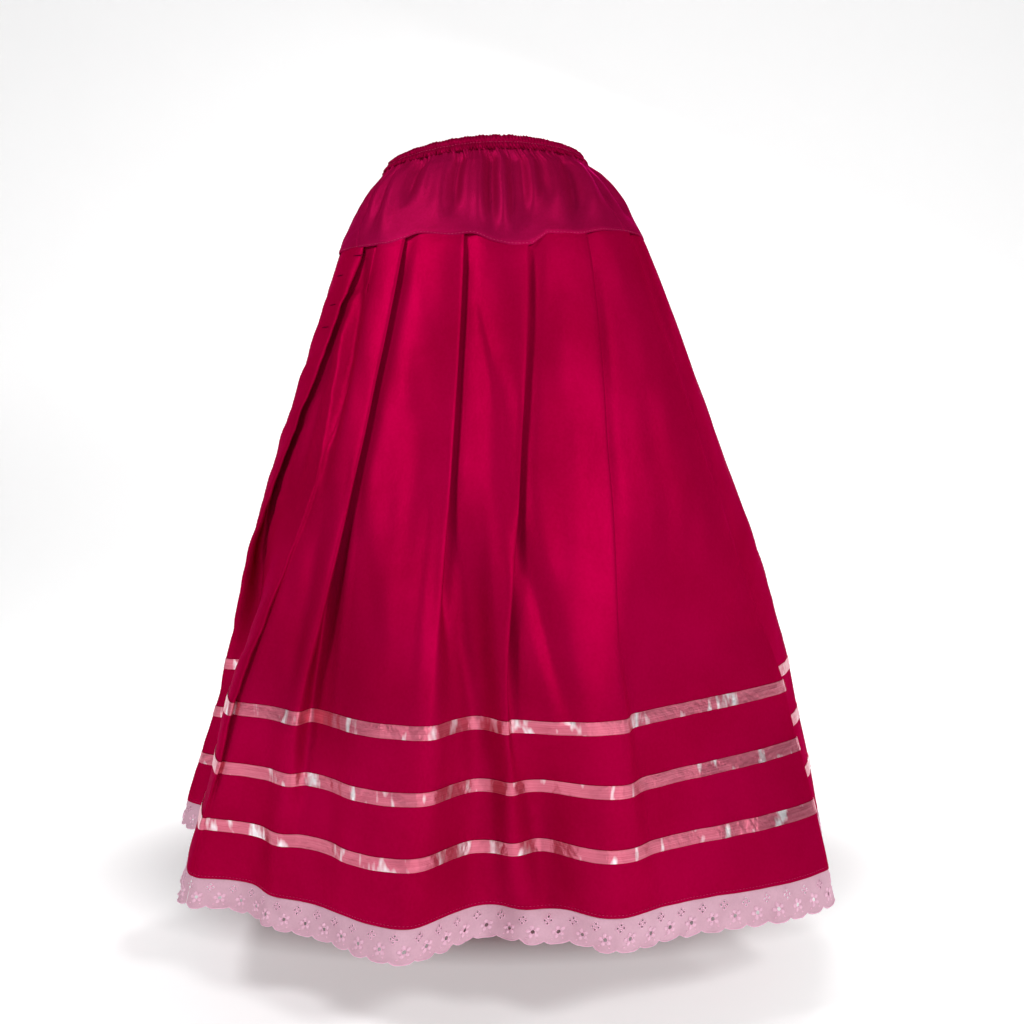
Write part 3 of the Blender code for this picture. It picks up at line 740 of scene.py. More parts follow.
# %% Node group for the uneven tint
def make_tint_and_sheen_group():
    """Soft patches and fine flecks, as one mask from 0 to 1."""
    inputs = {"Patch Scale": 9.0, "Fleck Scale": 300.0, "Fleck Share": 0.35}
    group, start, end = new_group("uneven_tint_and_sheen", inputs, "Mask")
    # partly painted sheen: where this mask is high, the main cloth's colour is paler, in place of sheen
    place = add_node(group, "TexCoord").outputs["Object"]
    share = start.outputs["Fleck Share"]
    masks = []
    for title, detail, part in (
        ("Patch Scale", 4.0, math_node(group, "SUBTRACT", 1.0, share)),
        ("Fleck Scale", 2.0, share),
    ):
        noise = add_node(group, "TexNoise", Vector=place, Scale=start.outputs[title], Detail=detail)
        masks.append(math_node(group, "MULTIPLY", noise.outputs["Fac"], part))
    set_inputs(group, end, Mask=math_node(group, "ADD", *masks))
    return group


tint_and_sheen_group = make_tint_and_sheen_group()
print("node groups:", weave_group.name, tint_and_sheen_group.name)

# %% [markdown]
# A finish is a Principled shader with a base colour that varies between two tones, a roughness that varies
# a little with it, and a bump from the weave. The sheen is what makes a cloth look soft at its edges: short
# fibres catch the light where the surface turns away.

# %% Cloth, lace and thread
Finish = namedtuple(
    "Finish",
    "low high roughness sheen sheen_tint threads patch fleck gloss satin",
    defaults=(9.0, 300.0, 0.0, 0.0),
)
FINISHES = {
    "magenta_cloth": Finish(
        (0.33, 0.0, 0.032), (0.40, 0.0, 0.046), (0.50, 0.41), 0.0, (1.0, 0.01, 0.45), 1800, satin=0.36
    ),
    # painted shade: the yoke and casing are the skirt's cloth, and their darker base colours stand in for
    # the shade on them
    "magenta_cloth_yoke_painted_shade": Finish(
        (0.29, 0.002, 0.040), (0.35, 0.003, 0.058), (0.52, 0.43), 0.03, (1.0, 0.02, 0.50), 1800, satin=0.42
    ),
    "magenta_cloth_casing_painted_shade": Finish(
        (0.23, 0.0, 0.026), (0.29, 0.001, 0.038), (0.50, 0.40), 0.03, (1.0, 0.03, 0.50), 1800, satin=0.35
    ),
    "pink_lace_cotton": Finish(
        (0.62, 0.365, 0.455), (0.72, 0.44, 0.54), (0.85, 0.75), 0.10, (1.0, 0.8, 0.9), 1400, 30, 500
    ),
    "pink_embroidery_thread": Finish(
        (0.80, 0.46, 0.60), (0.90, 0.54, 0.69), (0.42, 0.34), 0.15, (1.0, 0.9, 0.95), 3000, 60, 600, 0.3
    ),
    "magenta_sewing_thread": Finish(
        (0.54, 0.03, 0.12), (0.64, 0.06, 0.17), (0.45, 0.38), 0.10, (1.0, 0.3, 0.6), 3000, gloss=0.1
    ),
    "dark_magenta_thread": Finish(
        (0.09, 0.0, 0.014), (0.12, 0.001, 0.020), (0.50, 0.42), 0.05, (1.0, 0.1, 0.5), 3000
    ),
}
SHEEN_ROUGHNESS, WEAVE_HEIGHT, WEAVE_STRENGTH = 0.4, 0.0003, 0.25


def place_group(tree, group, **inputs):
    node = add_node(tree, "Group")
    node.node_tree = group
    return set_inputs(tree, node, **inputs)


def tone_between(tree, mask, low, high, spread=(0.35, 0.65)):
    """A colour that goes from low to high as the mask goes across spread, and the stretched mask."""
    reach = add_node(tree, "MapRange", Value=mask, From_Min=spread[0], From_Max=spread[1]).outputs["Result"]
    return mix_colours(tree, reach, (*low, 1.0), (*high, 1.0)), reach


def make_cloth(name, finish):
    """A woven finish: two tones in patches, a roughness that follows them, and a thread bump."""
    material, tree, shader = new_material(name)
    tint = place_group(tree, tint_and_sheen_group, Patch_Scale=finish.patch, Fleck_Scale=finish.fleck)
    # partly painted sheen: the high tone, paler and bluer, stands in for sheen on the magenta cloths
    colour, mask = tone_between(tree, tint.outputs["Mask"], finish.low, finish.high)
    rough = add_node(tree, "MapRange", Value=mask, To_Min=finish.roughness[0], To_Max=finish.roughness[1])
    weave = place_group(tree, weave_group, Threads_per_Metre=finish.threads).outputs["Height"]
    bump = add_node(tree, "Bump", Height=weave, Distance=WEAVE_HEIGHT, Strength=WEAVE_STRENGTH)
    set_inputs(tree, shader, Base_Color=colour, Roughness=rough.outputs["Result"], Metallic=finish.satin)
    set_inputs(tree, shader, Normal=bump.outputs["Normal"], Specular_IOR_Level=finish.gloss)
    set_inputs(tree, shader, Sheen_Weight=finish.sheen, Sheen_Roughness=SHEEN_ROUGHNESS)
    fibres = (*finish.sheen_tint, 1.0)
    set_inputs(tree, shader, Sheen_Tint=fibres, Specular_Tint=fibres)
    return material


cloths = {name: make_cloth(name, finish) for name, finish in FINISHES.items()}
print("cloth finishes:", ", ".join(cloths))

# %% [markdown]
# Satin ribbon is woven so that long threads lie on its face. Its reflection is drawn out across them, it
# shows fine lines along its length, and it shines in blotches wherever it bends. The UV map runs along the
# ribbon in metres, so the lines are a noise that is stretched along U. The glints of the many small bends
# that aren't modelled are painted highlights: pale spots in the colour, taller than they are wide.

# %% Satin ribbon
SATIN_LOW, SATIN_HIGH, LINE_SCALE = (0.640, 0.125, 0.200), (0.750, 0.190, 0.275), (14.0, 900.0, 1.0)
GLINT_COLOUR, GLINT_SPREAD, GLINT_SCALE = (1.0, 0.92, 0.95), (0.57, 0.66), (44.0, 44.0, 16.0)
BLOTCH_SCALE, LINE_HEIGHT, SATIN_BUMP, SATIN_BUMP_STRENGTH = 90.0, 0.05, 0.0030, 0.60


def make_ribbon_satin():
    material, tree, shader = new_material("pink_satin")
    along = add_node(tree, "UVMap").outputs["UV"]
    stretched = add_node(tree, "Mapping", Vector=along, Scale=LINE_SCALE).outputs["Vector"]
    lines = add_node(tree, "TexNoise", Vector=stretched, Scale=1.0, Detail=2.0).outputs["Fac"]
    colour, mask = tone_between(tree, lines, SATIN_LOW, SATIN_HIGH)
    around = add_node(tree, "TexCoord").outputs["Object"]
    upright = add_node(tree, "Mapping", Vector=around, Scale=GLINT_SCALE).outputs["Vector"]
    spots = add_node(tree, "TexNoise", Vector=upright, Scale=1.0, Detail=3.0).outputs["Fac"]
    # painted highlights: pale glint spots screened over the ribbon's colour
    lit, _ = tone_between(tree, spots, (0.0, 0.0, 0.0), GLINT_COLOUR, GLINT_SPREAD)
    shine = mix_colours(tree, 1.0, colour, lit, "SCREEN")
    blotch = add_node(tree, "TexNoise", Vector=along, Scale=BLOTCH_SCALE, Detail=3.0).outputs["Fac"]
    height = math_node(tree, "ADD", math_node(tree, "MULTIPLY", mask, LINE_HEIGHT), blotch)
    bump = add_node(tree, "Bump", Height=height, Distance=SATIN_BUMP, Strength=SATIN_BUMP_STRENGTH)
    threads = add_node(tree, "Tangent")
    threads.direction_type = "UV_MAP"
    set_inputs(tree, shader, Base_Color=shine, Normal=bump.outputs["Normal"], Roughness=0.30, Metallic=0.80)
    set_inputs(tree, shader, Tangent=threads.outputs["Tangent"], Anisotropic=0.95, Anisotropic_Rotation=0.25)
    return material


ribbon_satin = make_ribbon_satin()

# %% [markdown]
# The skirt's front and back panels are each one grid. The side seams lie hidden in the tucks of two pleats,
# so each panel starts and ends inside a tuck, and there the back runs on a little way under the front.

# %% The pleated skirt
CLOTH_THICKNESS = 0.0008
SEAM_GAP = 0.0003
FRONT_ROWS, BACK_ROWS = 196, 112
HALVES = {"front": (LEFT_SEAM, RIGHT_SEAM, FRONT_ROWS), "back": (RIGHT_SEAM, ALL_ROUND, BACK_ROWS)}

for half, (first, last, rows) in HALVES.items():
    drops = np.linspace(SEAM_DROP - SEAM_LAP, HEM_DROP, rows)
    grid = skirt_cloth(first, last, drops, under=half == "back")
    cloth_area(add_cloth(f"skirt_{half}_cloth", grid, CLOTH_THICKNESS, cloths["magenta_cloth"]))

# %% [markdown]
# The ribbons are stitched flat to the skirt, so they take every fold of it. Each is made from the same
# sections as the skirt, moved outwards along the cloth's own normal.

# %% Three rows of ribbon
RIBBON_THICKNESS, RIBBON_STAND = 0.0005, 0.0010
RIBBON_ROWS, RIBBON_FINENESS = 7, 2
for half, (first, last, _) in HALVES.items():
    for row, top in RIBBON_DROPS.items():
        drops = np.linspace(top, top + RIBBON_WIDTH, RIBBON_ROWS)
        grid = skirt_cloth(first, last, drops, RIBBON_FINENESS, under=half == "back")
        grid = grid + facing(grid) * RIBBON_STAND
        piece = add_cloth(f"ribbon_{row}_{half}_satin", grid, RIBBON_THICKNESS, ribbon_satin)
        cloth_area(piece) / RIBBON_WIDTH

# %% [markdown]
# The yoke is one curved panel at the front and one at the back, gathered into the elastic above. Gathers are
# deepest below the casing and run out towards the seam. Each row of the table is a valley, or a ridge where
# its depth is negative, with its own place, drift, width and lowest drop. Small puckers sit between them
# right under the casing. The panel's top runs on inside the casing, where the puckers fade.

# %% Gathers of the yoke
Gather = namedtuple("Gather", "share drift depth width low")
GATHERS = table(
    Gather,
    (-195, 20, 3, 7, 105), (-180, 16, -2, 6, 90), (-165, 13, 3, 7, 125),
    (-149, 19, -2.6, 7, 125), (-115, 4, 4, 6, 85), (-92, 3, -1.8, 6, 90),
    (-66, 3, -3, 10, 120), (-49, 2, 4.5, 6, 105), (-31, 2, -2, 7, 110),
    (-11, -5, -3.5, 7, 120), (2, -5, 6, 6.5, 125), (18, -8, -3, 7, 120),
    (35, -15, 4, 5, 120), (52, -22, 4, 6, 110), (66, -23, -3, 6, 100),
    (82, -23, 2.6, 5.5, 90), (101, -33, -3, 10, 115), (140, -46, 6, 9, 125),
    (160, -35, -3, 10, 120), (182, -22, 3.6, 7, 100), (210, -10, 4.4, 7, 115),
    (228, -6, -2.4, 7, 100), (262, -3, 5, 7.5, 120), (284, 1, -2.8, 8, 105),
    (312, 4, 4, 6, 95), (347, -2, 4.8, 7, 118), (366, 1, -2.6, 7, 100),
    (394, -2, 3.6, 6, 88), (433, 3, 5.4, 7.5, 122), (452, 0, -3, 8, 110),
    (484, -4, 4, 6, 98), (519, 2, 4.6, 7, 116), (538, -1, -2.4, 7, 96),
    (574, 3, 5, 7.5, 120), (603, -2, 3.4, 6, 86), (622, 1, -2.8, 8, 106),
    (655, 3, 4.6, 7, 114), (690, 4, 4, 6.5, 100), (708, 6, -2.6, 7, 98),
    (742, 9, 5, 7.5, 118), (776, 12, 3.4, 6, 92),
)
PUCKERS_ROUND, YOKE_PUCKERS = 158, 66
YOKE_PUCKER_SHARE, SMALL_PUCKER_SHARE = 0.75, 0.35
PUCKER_DEPTH, PUCKER_FADE, PUCKER_FLOOR = 0.0034, 0.0090, -0.30
YOKE_TOP, PUCKER_START = 0.0130, 0.0040
GATHER_FIRST, GATHER_START, GATHER_HOLDS, GATHER_SCALE, GATHER_SPREAD = 0.15, 0.0150, 0.55, 1.8, 1.35


def puckers(share, seed, count=PUCKERS_ROUND):
    """Uneven small puckers round the elastic, from -1 to 1."""
    warp = 0.30 * wave(share, 11, 0.13) + 0.24 * wave(share, 23, 0.41 + seed)
    size = 0.72 + 0.28 * wave(share, 37, 0.27 + seed) * wave(share, 5, 0.6)
    return size * wave(share, count, warp)


def gathered(share, drop):
    """How far the gathers move the yoke outwards."""
    around = girth(drop)
    below = drop - CASING_HEIGHT
    small = YOKE_PUCKER_SHARE * puckers(share, 0.0, YOKE_PUCKERS) + SMALL_PUCKER_SHARE * puckers(share, 0.3)
    off = PUCKER_DEPTH * np.maximum(small, PUCKER_FLOOR) * np.exp(-np.maximum(below, 0) / PUCKER_FADE)
    off = off * ramp((drop - YOKE_TOP) / PUCKER_START)
    start = ramp(GATHER_FIRST + below / GATHER_START)
    for gather in GATHERS:
        middle = gather.share + gather.drift * below / (SEAM_DROP - CASING_HEIGHT)
        away = ((share - middle + 0.5) % 1.0 - 0.5) * around
        along = ramp(below / (gather.low - CASING_HEIGHT))
        fade = ramp((1 - along) / (1 - GATHER_HOLDS))
        depth = GATHER_SCALE * gather.depth * start * fade * fade * (3 - 2 * fade)
        off = off - depth * bell(away / (GATHER_SPREAD * gather.width))
    return off


print("yoke gathers:", len(GATHERS))

# %% The yoke panels
YOKE_LEFT, YOKE_RIGHT = (-0.210, -0.167), (0.158, 0.169)
LEFT_AGAIN = tuple(share + 1 for share in YOKE_LEFT)
YOKES = {"front": (YOKE_LEFT, YOKE_RIGHT, 460), "back": (YOKE_RIGHT, LEFT_AGAIN, 700)}
YOKE_ROWS, YOKE_ROW_SPREAD, STITCHED_COLUMNS = 64, 1.15, 460
YOKE_LAP, YOKE_OVERLAP, YOKE_THICKNESS = 0.0028, 0.0006, 0.0009
TURNED_EDGE, TURNED_IN, SIDE_EDGE, SIDE_IN = 0.0024, 0.0012, 0.0012, 0.0006
YOKE_RELIEF_HEIGHT, YOKE_RELIEF = 0.0005, (0.020, 0.040, 5, 12)
CASING_NARROWS = 0.25


def narrowed(share):
    """The share of its height that the casing shows, which is less at the sides."""
    return 1 - CASING_NARROWS * wave(share, 1) ** 2


def yoke_cloth(left, right, columns):
    """One yoke panel as rows of points, between side lines given by their shares at top and seam."""
    spread = np.linspace(0, 1, YOKE_ROWS) ** YOKE_ROW_SPREAD
    drops = YOKE_TOP + (SEAM_DROP + YOKE_OVERLAP - YOKE_TOP) * spread
    down = ((drops - CASING_HEIGHT) / (SEAM_DROP - CASING_HEIGHT))[:, None]
    gap = (SEAM_GAP / 2 / girth(drops))[:, None]
    low = left[0] + (left[1] - left[0]) * down + gap
    high = right[0] + (right[1] - right[0]) * down - gap
    share = low + (high - low) * np.linspace(0, 1, columns)[None, :]
    drop = np.repeat(drops[:, None], columns, axis=1)
    around = girth(drop)
    off = YOKE_LAP * ramp(down) + gathered(share, drop)
    off = off - TURNED_IN * bell((drops[-1] - drop) / TURNED_EDGE)
    off = off + YOKE_RELIEF_HEIGHT * uneven(share * around, drop, *YOKE_RELIEF) * ramp(down)
    off = off - SIDE_IN * bell(np.minimum(share - low, high - share) * around / SIDE_EDGE)
    rise = CASING_HEIGHT * (1 - narrowed(share)) * ramp(1 - down) ** 3
    return worn(share, drop - rise, off)


for half, sides in YOKES.items():
    grid = yoke_cloth(*sides)
    cloth_area(add_cloth(f"yoke_{half}_cloth", grid, YOKE_THICKNESS, cloths["magenta_cloth_yoke_painted_shade"]))

# %% [markdown]
# The waist casing is a tube of the same cloth over elastic, stitched along its middle. Elastic pulls it into
# many small puckers, deepest at the stitching, and the top edge ruffles. It is modelled as one closed loop
# of cloth that is swept round the waist: each row is a point of the loop, and the puckers come and go
# along it.

# %% The waist casing
LoopPoint = namedtuple("LoopPoint", "drop stand pucker")
CASING_LOOP = table(
    LoopPoint,
    (0.6, -1.6, 0.4), (-0.4, -1, 0.6), (-1, 0, 0.9), (-0.6, 1, 1.2),
    (0.8, 1.8, 1.1), (2.6, 2.6, 0.9), (4.6, 2.9, 0.8), (6.6, 2.5, 0.8),
    (8, 1.7, 1), (8.8, 1.1, 1.1), (9.6, 1.7, 1), (11.2, 2.6, 0.8),
    (13.2, 3, 0.8), (15.2, 2.6, 0.9), (16.8, 1.8, 1.1), (17.8, 0.9, 1),
    (17.6, -0.2, 0.6), (16, -1.3, 0.3), (12, -1.9, 0.3), (7, -2, 0.3),
    (3, -1.9, 0.3),
)
CASING_COLUMNS = 1580
CASING_GROOVE = 9
CASING_RUFFLE, RUFFLE_FADE, LARGE_IN_RUFFLE = 0.0012, 0.0020, 0.6
LARGE_PUCKERS, LARGE_SWING, LARGE_SWINGS = 29, 3, 3
SMALL_CHANGES, OTHER_CHANGES, OTHER_SHARE = 0.22, 0.35, 0.55
PUCKER_SCALE, SMALL_IN_STAND, LARGE_IN_STAND = 2.2, 0.8, 0.35


def add_casing():
    """The casing as one closed loop of cloth. Returns the groove that the stitches lie in."""
    share = np.arange(CASING_COLUMNS) / CASING_COLUMNS
    small, other = puckers(share, 0.2), puckers(share, 0.5)
    large = np.sin(2 * math.pi * LARGE_PUCKERS * share + LARGE_SWING * wave(share, LARGE_SWINGS))
    rows = []
    for number, point in enumerate(CASING_LOOP):
        shape = small * np.cos(SMALL_CHANGES * number) + OTHER_SHARE * other * np.sin(OTHER_CHANGES * number)
        fade = math.exp(-max(point.drop, 0.0) / RUFFLE_FADE)
        ruffle = CASING_RUFFLE * (small + LARGE_IN_RUFFLE * large) * fade
        drop = point.drop * narrowed(share) + ruffle + waist_shift(share)
        off = point.stand + PUCKER_SCALE * point.pucker * (SMALL_IN_STAND * shape + LARGE_IN_STAND * large)
        rows.append(np.concatenate([off_form(share, drop, off), -drop[:, None]], axis=1))
    grid = np.array(rows)
    last = (len(grid) - 1) * CASING_COLUMNS
    ring = np.arange(CASING_COLUMNS)
    after = (ring + 1) % CASING_COLUMNS
    closing = np.stack([last + ring, ring, after, last + after], axis=-1)
    faces = np.concatenate([grid_faces(len(grid), CASING_COLUMNS, closed=True), closing])
    down = np.array([point.drop for point in CASING_LOOP])
    uvs = np.stack(np.broadcast_arrays(share[None, :] * girth(0.0), -down[:, None]), axis=-1).reshape(-1, 2)
    cloth_area(add_mesh("waist_casing", grid.reshape(-1, 3), faces, cloths["magenta_cloth_casing_painted_shade"], uvs))
    return grid[CASING_GROOVE]


casing_groove = add_casing()

# %% [markdown]
# Eyelet lace is cotton with holes that are cut and whipped round with thread. The pattern is one repeat: a
# large eyelet over the middle of each scallop with satin-stitched petals round it, and a diamond of four
# small holes between two of them, higher up. The flat repeat is made once, cut into triangles round its
# holes, and laid along the hem, where it follows every wave.

# %% One repeat of the lace, flat
SMALL_HOLE = 0.0013
DIAMOND_DROP, DIAMOND_REACH = 0.0108, 0.0036
SCALLOP_STEPS, SCALLOP_POWER, TOP_STEPS = 12, 2.4, 5
EDGE_HIGH, EDGE_LOW = (0.0, 0.0040), (0.0200, 0.0270)
FILL_FROM, FILL_SHORT, FILL_DOWN, FILL_ACROSS, FILL_CLEAR = 0.0045, 0.004, 0.0052, 0.0048, 0.0022
LARGE_SIDES, SMALL_SIDES, HOLE_SHARE = 12, 8, 0.93
HALF = LACE_REPEAT / 2
Hole = namedtuple("Hole", "across down radius sides")
HOLES = (
    Hole(HALF, EYELET_DROP, EYELET_RADIUS, LARGE_SIDES),
    Hole(DIAMOND_REACH, DIAMOND_DROP, SMALL_HOLE, SMALL_SIDES),
    Hole(LACE_REPEAT - DIAMOND_REACH, DIAMOND_DROP, SMALL_HOLE, SMALL_SIDES),
)


def scallop_edge(across):
    """How far down the lace reaches at this distance across one repeat."""
    return LACE_DEPTH - SCALLOP_DEPTH * abs(2 * across / LACE_REPEAT - 1) ** SCALLOP_POWER


def circle(hole):
    turns = [2 * math.pi * i / hole.sides for i in range(hole.sides)]
    return [(hole.across + hole.radius * math.sin(t), hole.down + hole.radius * math.cos(t)) for t in turns]


def lace_outline():
    """The repeat's edge, with half of two small holes bitten out of its left side and its right side."""
    left = [(0.0, down) for down in EDGE_HIGH]
    for middle in (DIAMOND_DROP - DIAMOND_REACH, DIAMOND_DROP + DIAMOND_REACH):
        for i in range(SMALL_SIDES // 2 + 1):
            turn = 2 * math.pi * i / SMALL_SIDES
            left.append((SMALL_HOLE * math.sin(turn), middle - SMALL_HOLE * math.cos(turn)))
    left += [(0.0, down) for down in (*EDGE_LOW, scallop_edge(0.0))]
    right = [(LACE_REPEAT - across, down) for across, down in left]
    steps = [LACE_REPEAT * i / SCALLOP_STEPS for i in range(1, SCALLOP_STEPS)]
    low = [(across, scallop_edge(across)) for across in steps]
    top = [(LACE_REPEAT * i / TOP_STEPS, 0.0) for i in range(TOP_STEPS - 1, 0, -1)]
    return left + low + right[::-1] + top


def lace_tile():
    """Points and triangles of one flat repeat."""
    loops = [lace_outline(), *map(circle, HOLES)]
    points = [point for loop in loops for point in loop]
    edges, start = [], 0
    for loop in loops:
        edges += [(start + i, start + (i + 1) % len(loop)) for i in range(len(loop))]
        start += len(loop)
    fixed = np.array(points)
    for down in np.arange(FILL_FROM, LACE_DEPTH - FILL_SHORT, FILL_DOWN):
        for across in np.arange(FILL_FROM, LACE_REPEAT - FILL_SHORT, FILL_ACROSS):
            if np.hypot(*(fixed - (across, down)).T).min() > FILL_CLEAR:
                points.append((across, down))
    points = [tuple(map(float, point)) for point in points]
    found = delaunay_2d_cdt(points, edges, [list(range(len(loops[0])))], 1, 1e-7)
    places, triangles = np.array([tuple(point) for point in found[0]]), []
    for face in found[2]:
        across, down = places[list(face)].mean(axis=0)
        from_holes = [math.hypot(across - hole.across, down - hole.down) / hole.radius for hole in HOLES]
        if min(from_holes) > HOLE_SHARE:
            triangles.append(tuple(face))
    return places, triangles


tile_points, tile_faces = lace_tile()
print("one repeat of lace:", len(tile_points), "points,", len(tile_faces), "triangles")

# %% The hem line that the lace hangs from
LACE_TUCK, LACE_TUCKED_IN, LACE_COMES_OUT = 0.0030, 0.0012, 0.004
FLUTTER_HEIGHT, FLUTTER_TAPER, FLUTTER_DRAWN_OUT = 0.0020, 0.020, 0.3
FLUTTER = (0.012, 0.05, 21, 14)  # across, down, seed and count of waves
LACE_LEVELS = 12


def clear_of_seam(grid):
    """Moves the two ends of a grid back by half a seam gap."""
    for end, inner in ((0, 1), (-1, -2)):
        grid[:, end] += unit(grid[:, inner] - grid[:, end]) * SEAM_GAP / 2
    return grid


def lace_ground(first, last):
    """The surface that the lace lies on: rows of points, its normals, and each row's distances."""
    drops = np.linspace(HEM_DROP - LACE_TUCK, HEM_DROP + LACE_DEPTH, LACE_LEVELS)
    grid = clear_of_seam(skirt_cloth(first, last, drops, 2))
    inward = LACE_TUCKED_IN * ramp(1 - (drops - HEM_DROP) / LACE_COMES_OUT)
    below = ramp((drops - HEM_DROP) / LACE_DEPTH)[:, None]
    run = run_along(grid)
    run = run - run[:, :1]
    ends = ramp(np.minimum(run, run[:, -1:] - run) / FLUTTER_TAPER)
    flutter = FLUTTER_HEIGHT * ends * below * uneven(run, drops[:, None] * FLUTTER_DRAWN_OUT, *FLUTTER)
    grid = grid + facing(grid) * (flutter - inward[:, None])[..., None]
    return grid, facing(grid), run


def on_ground(ground, repeats, across, down):
    """Points and normals at a number of repeats along the lace and a distance below the hem."""
    grid, normals, run = ground
    level = ramp((down + LACE_TUCK) / (LACE_DEPTH + LACE_TUCK)) * (len(grid) - 1)
    upper = np.minimum(level.astype(int), len(grid) - 2)
    weight = (level - upper)[:, None]
    share = ramp(across / repeats)
    result = []
    for field in (grid, normals):
        rows = np.empty((len(grid), len(share), 3))
        for i in range(len(grid)):
            for axis in range(3):
                rows[i, :, axis] = np.interp(share * run[i, -1], run[i], field[i, :, axis])
        pick = np.arange(len(share))
        result.append(rows[upper, pick] * (1 - weight) + rows[upper + 1, pick] * weight)
    return result[0], unit(result[1])


# %% The lace cloth
LACE_THICKNESS = 0.0006


def add_lace(half, first, last):
    """The lace of one half, from flat repeats that share their edge points."""
    ground = lace_ground(first, last)
    repeats = round(ground[2][0, -1] / LACE_REPEAT)
    faces, welds, flat = [], {}, []
    for repeat in range(repeats):
        lookup = []
        for across, down in tile_points:
            along = repeat + across / LACE_REPEAT
            key = (round(along * 1e5), round(down * 1e6))
            if key not in welds:
                welds[key] = len(flat)
                flat.append((along, down))
            lookup.append(welds[key])
        faces += [tuple(lookup[corner] for corner in face) for face in tile_faces]
    along, down = np.array(flat).T
    points, _ = on_ground(ground, repeats, along, np.where(down <= 0, -LACE_TUCK, down))
    uvs = np.stack([along * LACE_REPEAT, -down], axis=-1)
    piece = add_mesh(f"lace_{half}_cotton", points, faces, cloths["pink_lace_cotton"], uvs)
    first_faces = list(piece.data.polygons)[: len(tile_faces)]
    normal = sum(np.array(face.normal) * face.area for face in first_faces)
    if normal @ ground[1][0, len(ground[1][0]) // (2 * repeats)] < 0:
        piece.data.flip_normals()
    thickened(piece, LACE_THICKNESS)
    print(piece.name, repeats, "repeats,", len(piece.data.polygons), "faces")
    return ground, repeats


lace_grounds = {half: add_lace(half, first, last) for half, (first, last, _) in HALVES.items()}

# %% [markdown]
# The raised work on the lace is thread laid close together: a whipped ring round each hole, padded petals
# round the large eyelets, and a corded edge along the scallops. Each is a low shape, modelled once with a
# primitive and then repeated along the lace, so a shape has only a few dozen faces.

# %% Shapes of the raised work
def shape_from_primitive(add, **settings):
    """Points and faces of a primitive, which is then removed."""
    bpy.ops.object.select_all(action="DESELECT")
    add(**settings)
    made = bpy.context.active_object
    points = np.array([tuple(corner.co) for corner in made.data.vertices])
    faces = [tuple(face.vertices) for face in made.data.polygons]
    bpy.data.meshes.remove(made.data)
    return points, faces


def ring_shape(radius, cord, sides):
    sizes = {"major_radius": radius, "minor_radius": cord, "major_segments": sides, "minor_segments": 4}
    return shape_from_primitive(bpy.ops.mesh.primitive_torus_add, **sizes)


def ball(segments, rings):
    return shape_from_primitive(
        bpy.ops.mesh.primitive_uv_sphere_add, segments=segments, ring_count=rings, radius=1.0
    )


LARGE_RING, SMALL_RING = (EYELET_RADIUS + 0.0003, 0.00075, 14), (SMALL_HOLE + 0.0004, 0.00070, 8)
PETAL_ROUNDNESS = (8, 5)
large_ring, small_ring, petal = ring_shape(*LARGE_RING), ring_shape(*SMALL_RING), ball(*PETAL_ROUNDNESS)
print("ring faces:", len(large_ring[1]), "petal faces:", len(petal[1]))

# %% The raised work of one repeat, flat
PETALS, PETAL_SIZES, PETAL_REACH = 5, (0.0027, 0.0024, 0.0008), EYELET_RADIUS + 0.0028
DOT_SIZES = (0.0009, 0.0009, 0.0004)
LEAF_SIZES, LEAF_REACH, LEAF_DROP, LEAF_TURN = (0.0014, 0.0008, 0.0005), 0.0060, 0.0330, 0.7


def placed(shape, middle, sizes=(1.0, 1.0, 1.0), turn=0.0):
    """A shape scaled, turned and moved in the flat repeat: across, down and height."""
    across, down, height = (shape[0] * sizes).T
    x = across * math.cos(turn) - down * math.sin(turn)
    y = across * math.sin(turn) + down * math.cos(turn)
    return np.stack([x + middle[0], y + middle[1], height], axis=-1), shape[1]


def raised_work():
    """Every ring, petal, dot and leaf of one repeat."""
    shapes = [placed(large_ring, (HALF, EYELET_DROP))]
    for i in range(PETALS):
        turn = 2 * math.pi * (i + 0.5) / PETALS
        middle = (HALF + PETAL_REACH * math.cos(turn), EYELET_DROP + PETAL_REACH * math.sin(turn))
        shapes.append(placed(petal, middle, PETAL_SIZES, turn))
    for across, down in ((0, -1), (0, 1), (1, 0), (-1, 0)):
        shapes.append(placed(small_ring, (across * DIAMOND_REACH, DIAMOND_DROP + down * DIAMOND_REACH)))
    shapes.append(placed(petal, (0.0, DIAMOND_DROP), DOT_SIZES))
    for side in (-1, 1):
        shapes.append(placed(petal, (HALF + side * LEAF_REACH, LEAF_DROP), LEAF_SIZES, side * LEAF_TURN))
    return shapes


# %% Laying the raised work along the lace
BORDER_STEPS = 14
PAST_END = 0.001
BORDER_PROFILE = ((0.0004, 0.0), (-0.00013, 0.0005), (-0.00104, 0.0005), (-0.0013, 0.0), (-0.00065, -0.0005))


def border_work():
    """The corded edge of one scallop: a low ridge along it."""
    across = np.linspace(0, LACE_REPEAT, BORDER_STEPS + 1)
    points = [(x, scallop_edge(x) + down, height) for down, height in BORDER_PROFILE for x in across]
    width, faces = BORDER_STEPS + 1, []
    for i in range(len(BORDER_PROFILE)):
        a, b = i * width, (i + 1) % len(BORDER_PROFILE) * width
        faces += [(a + k, b + k, b + k + 1, a + k + 1) for k in range(BORDER_STEPS)]
    return np.array(points), faces


work = [*raised_work(), border_work()]


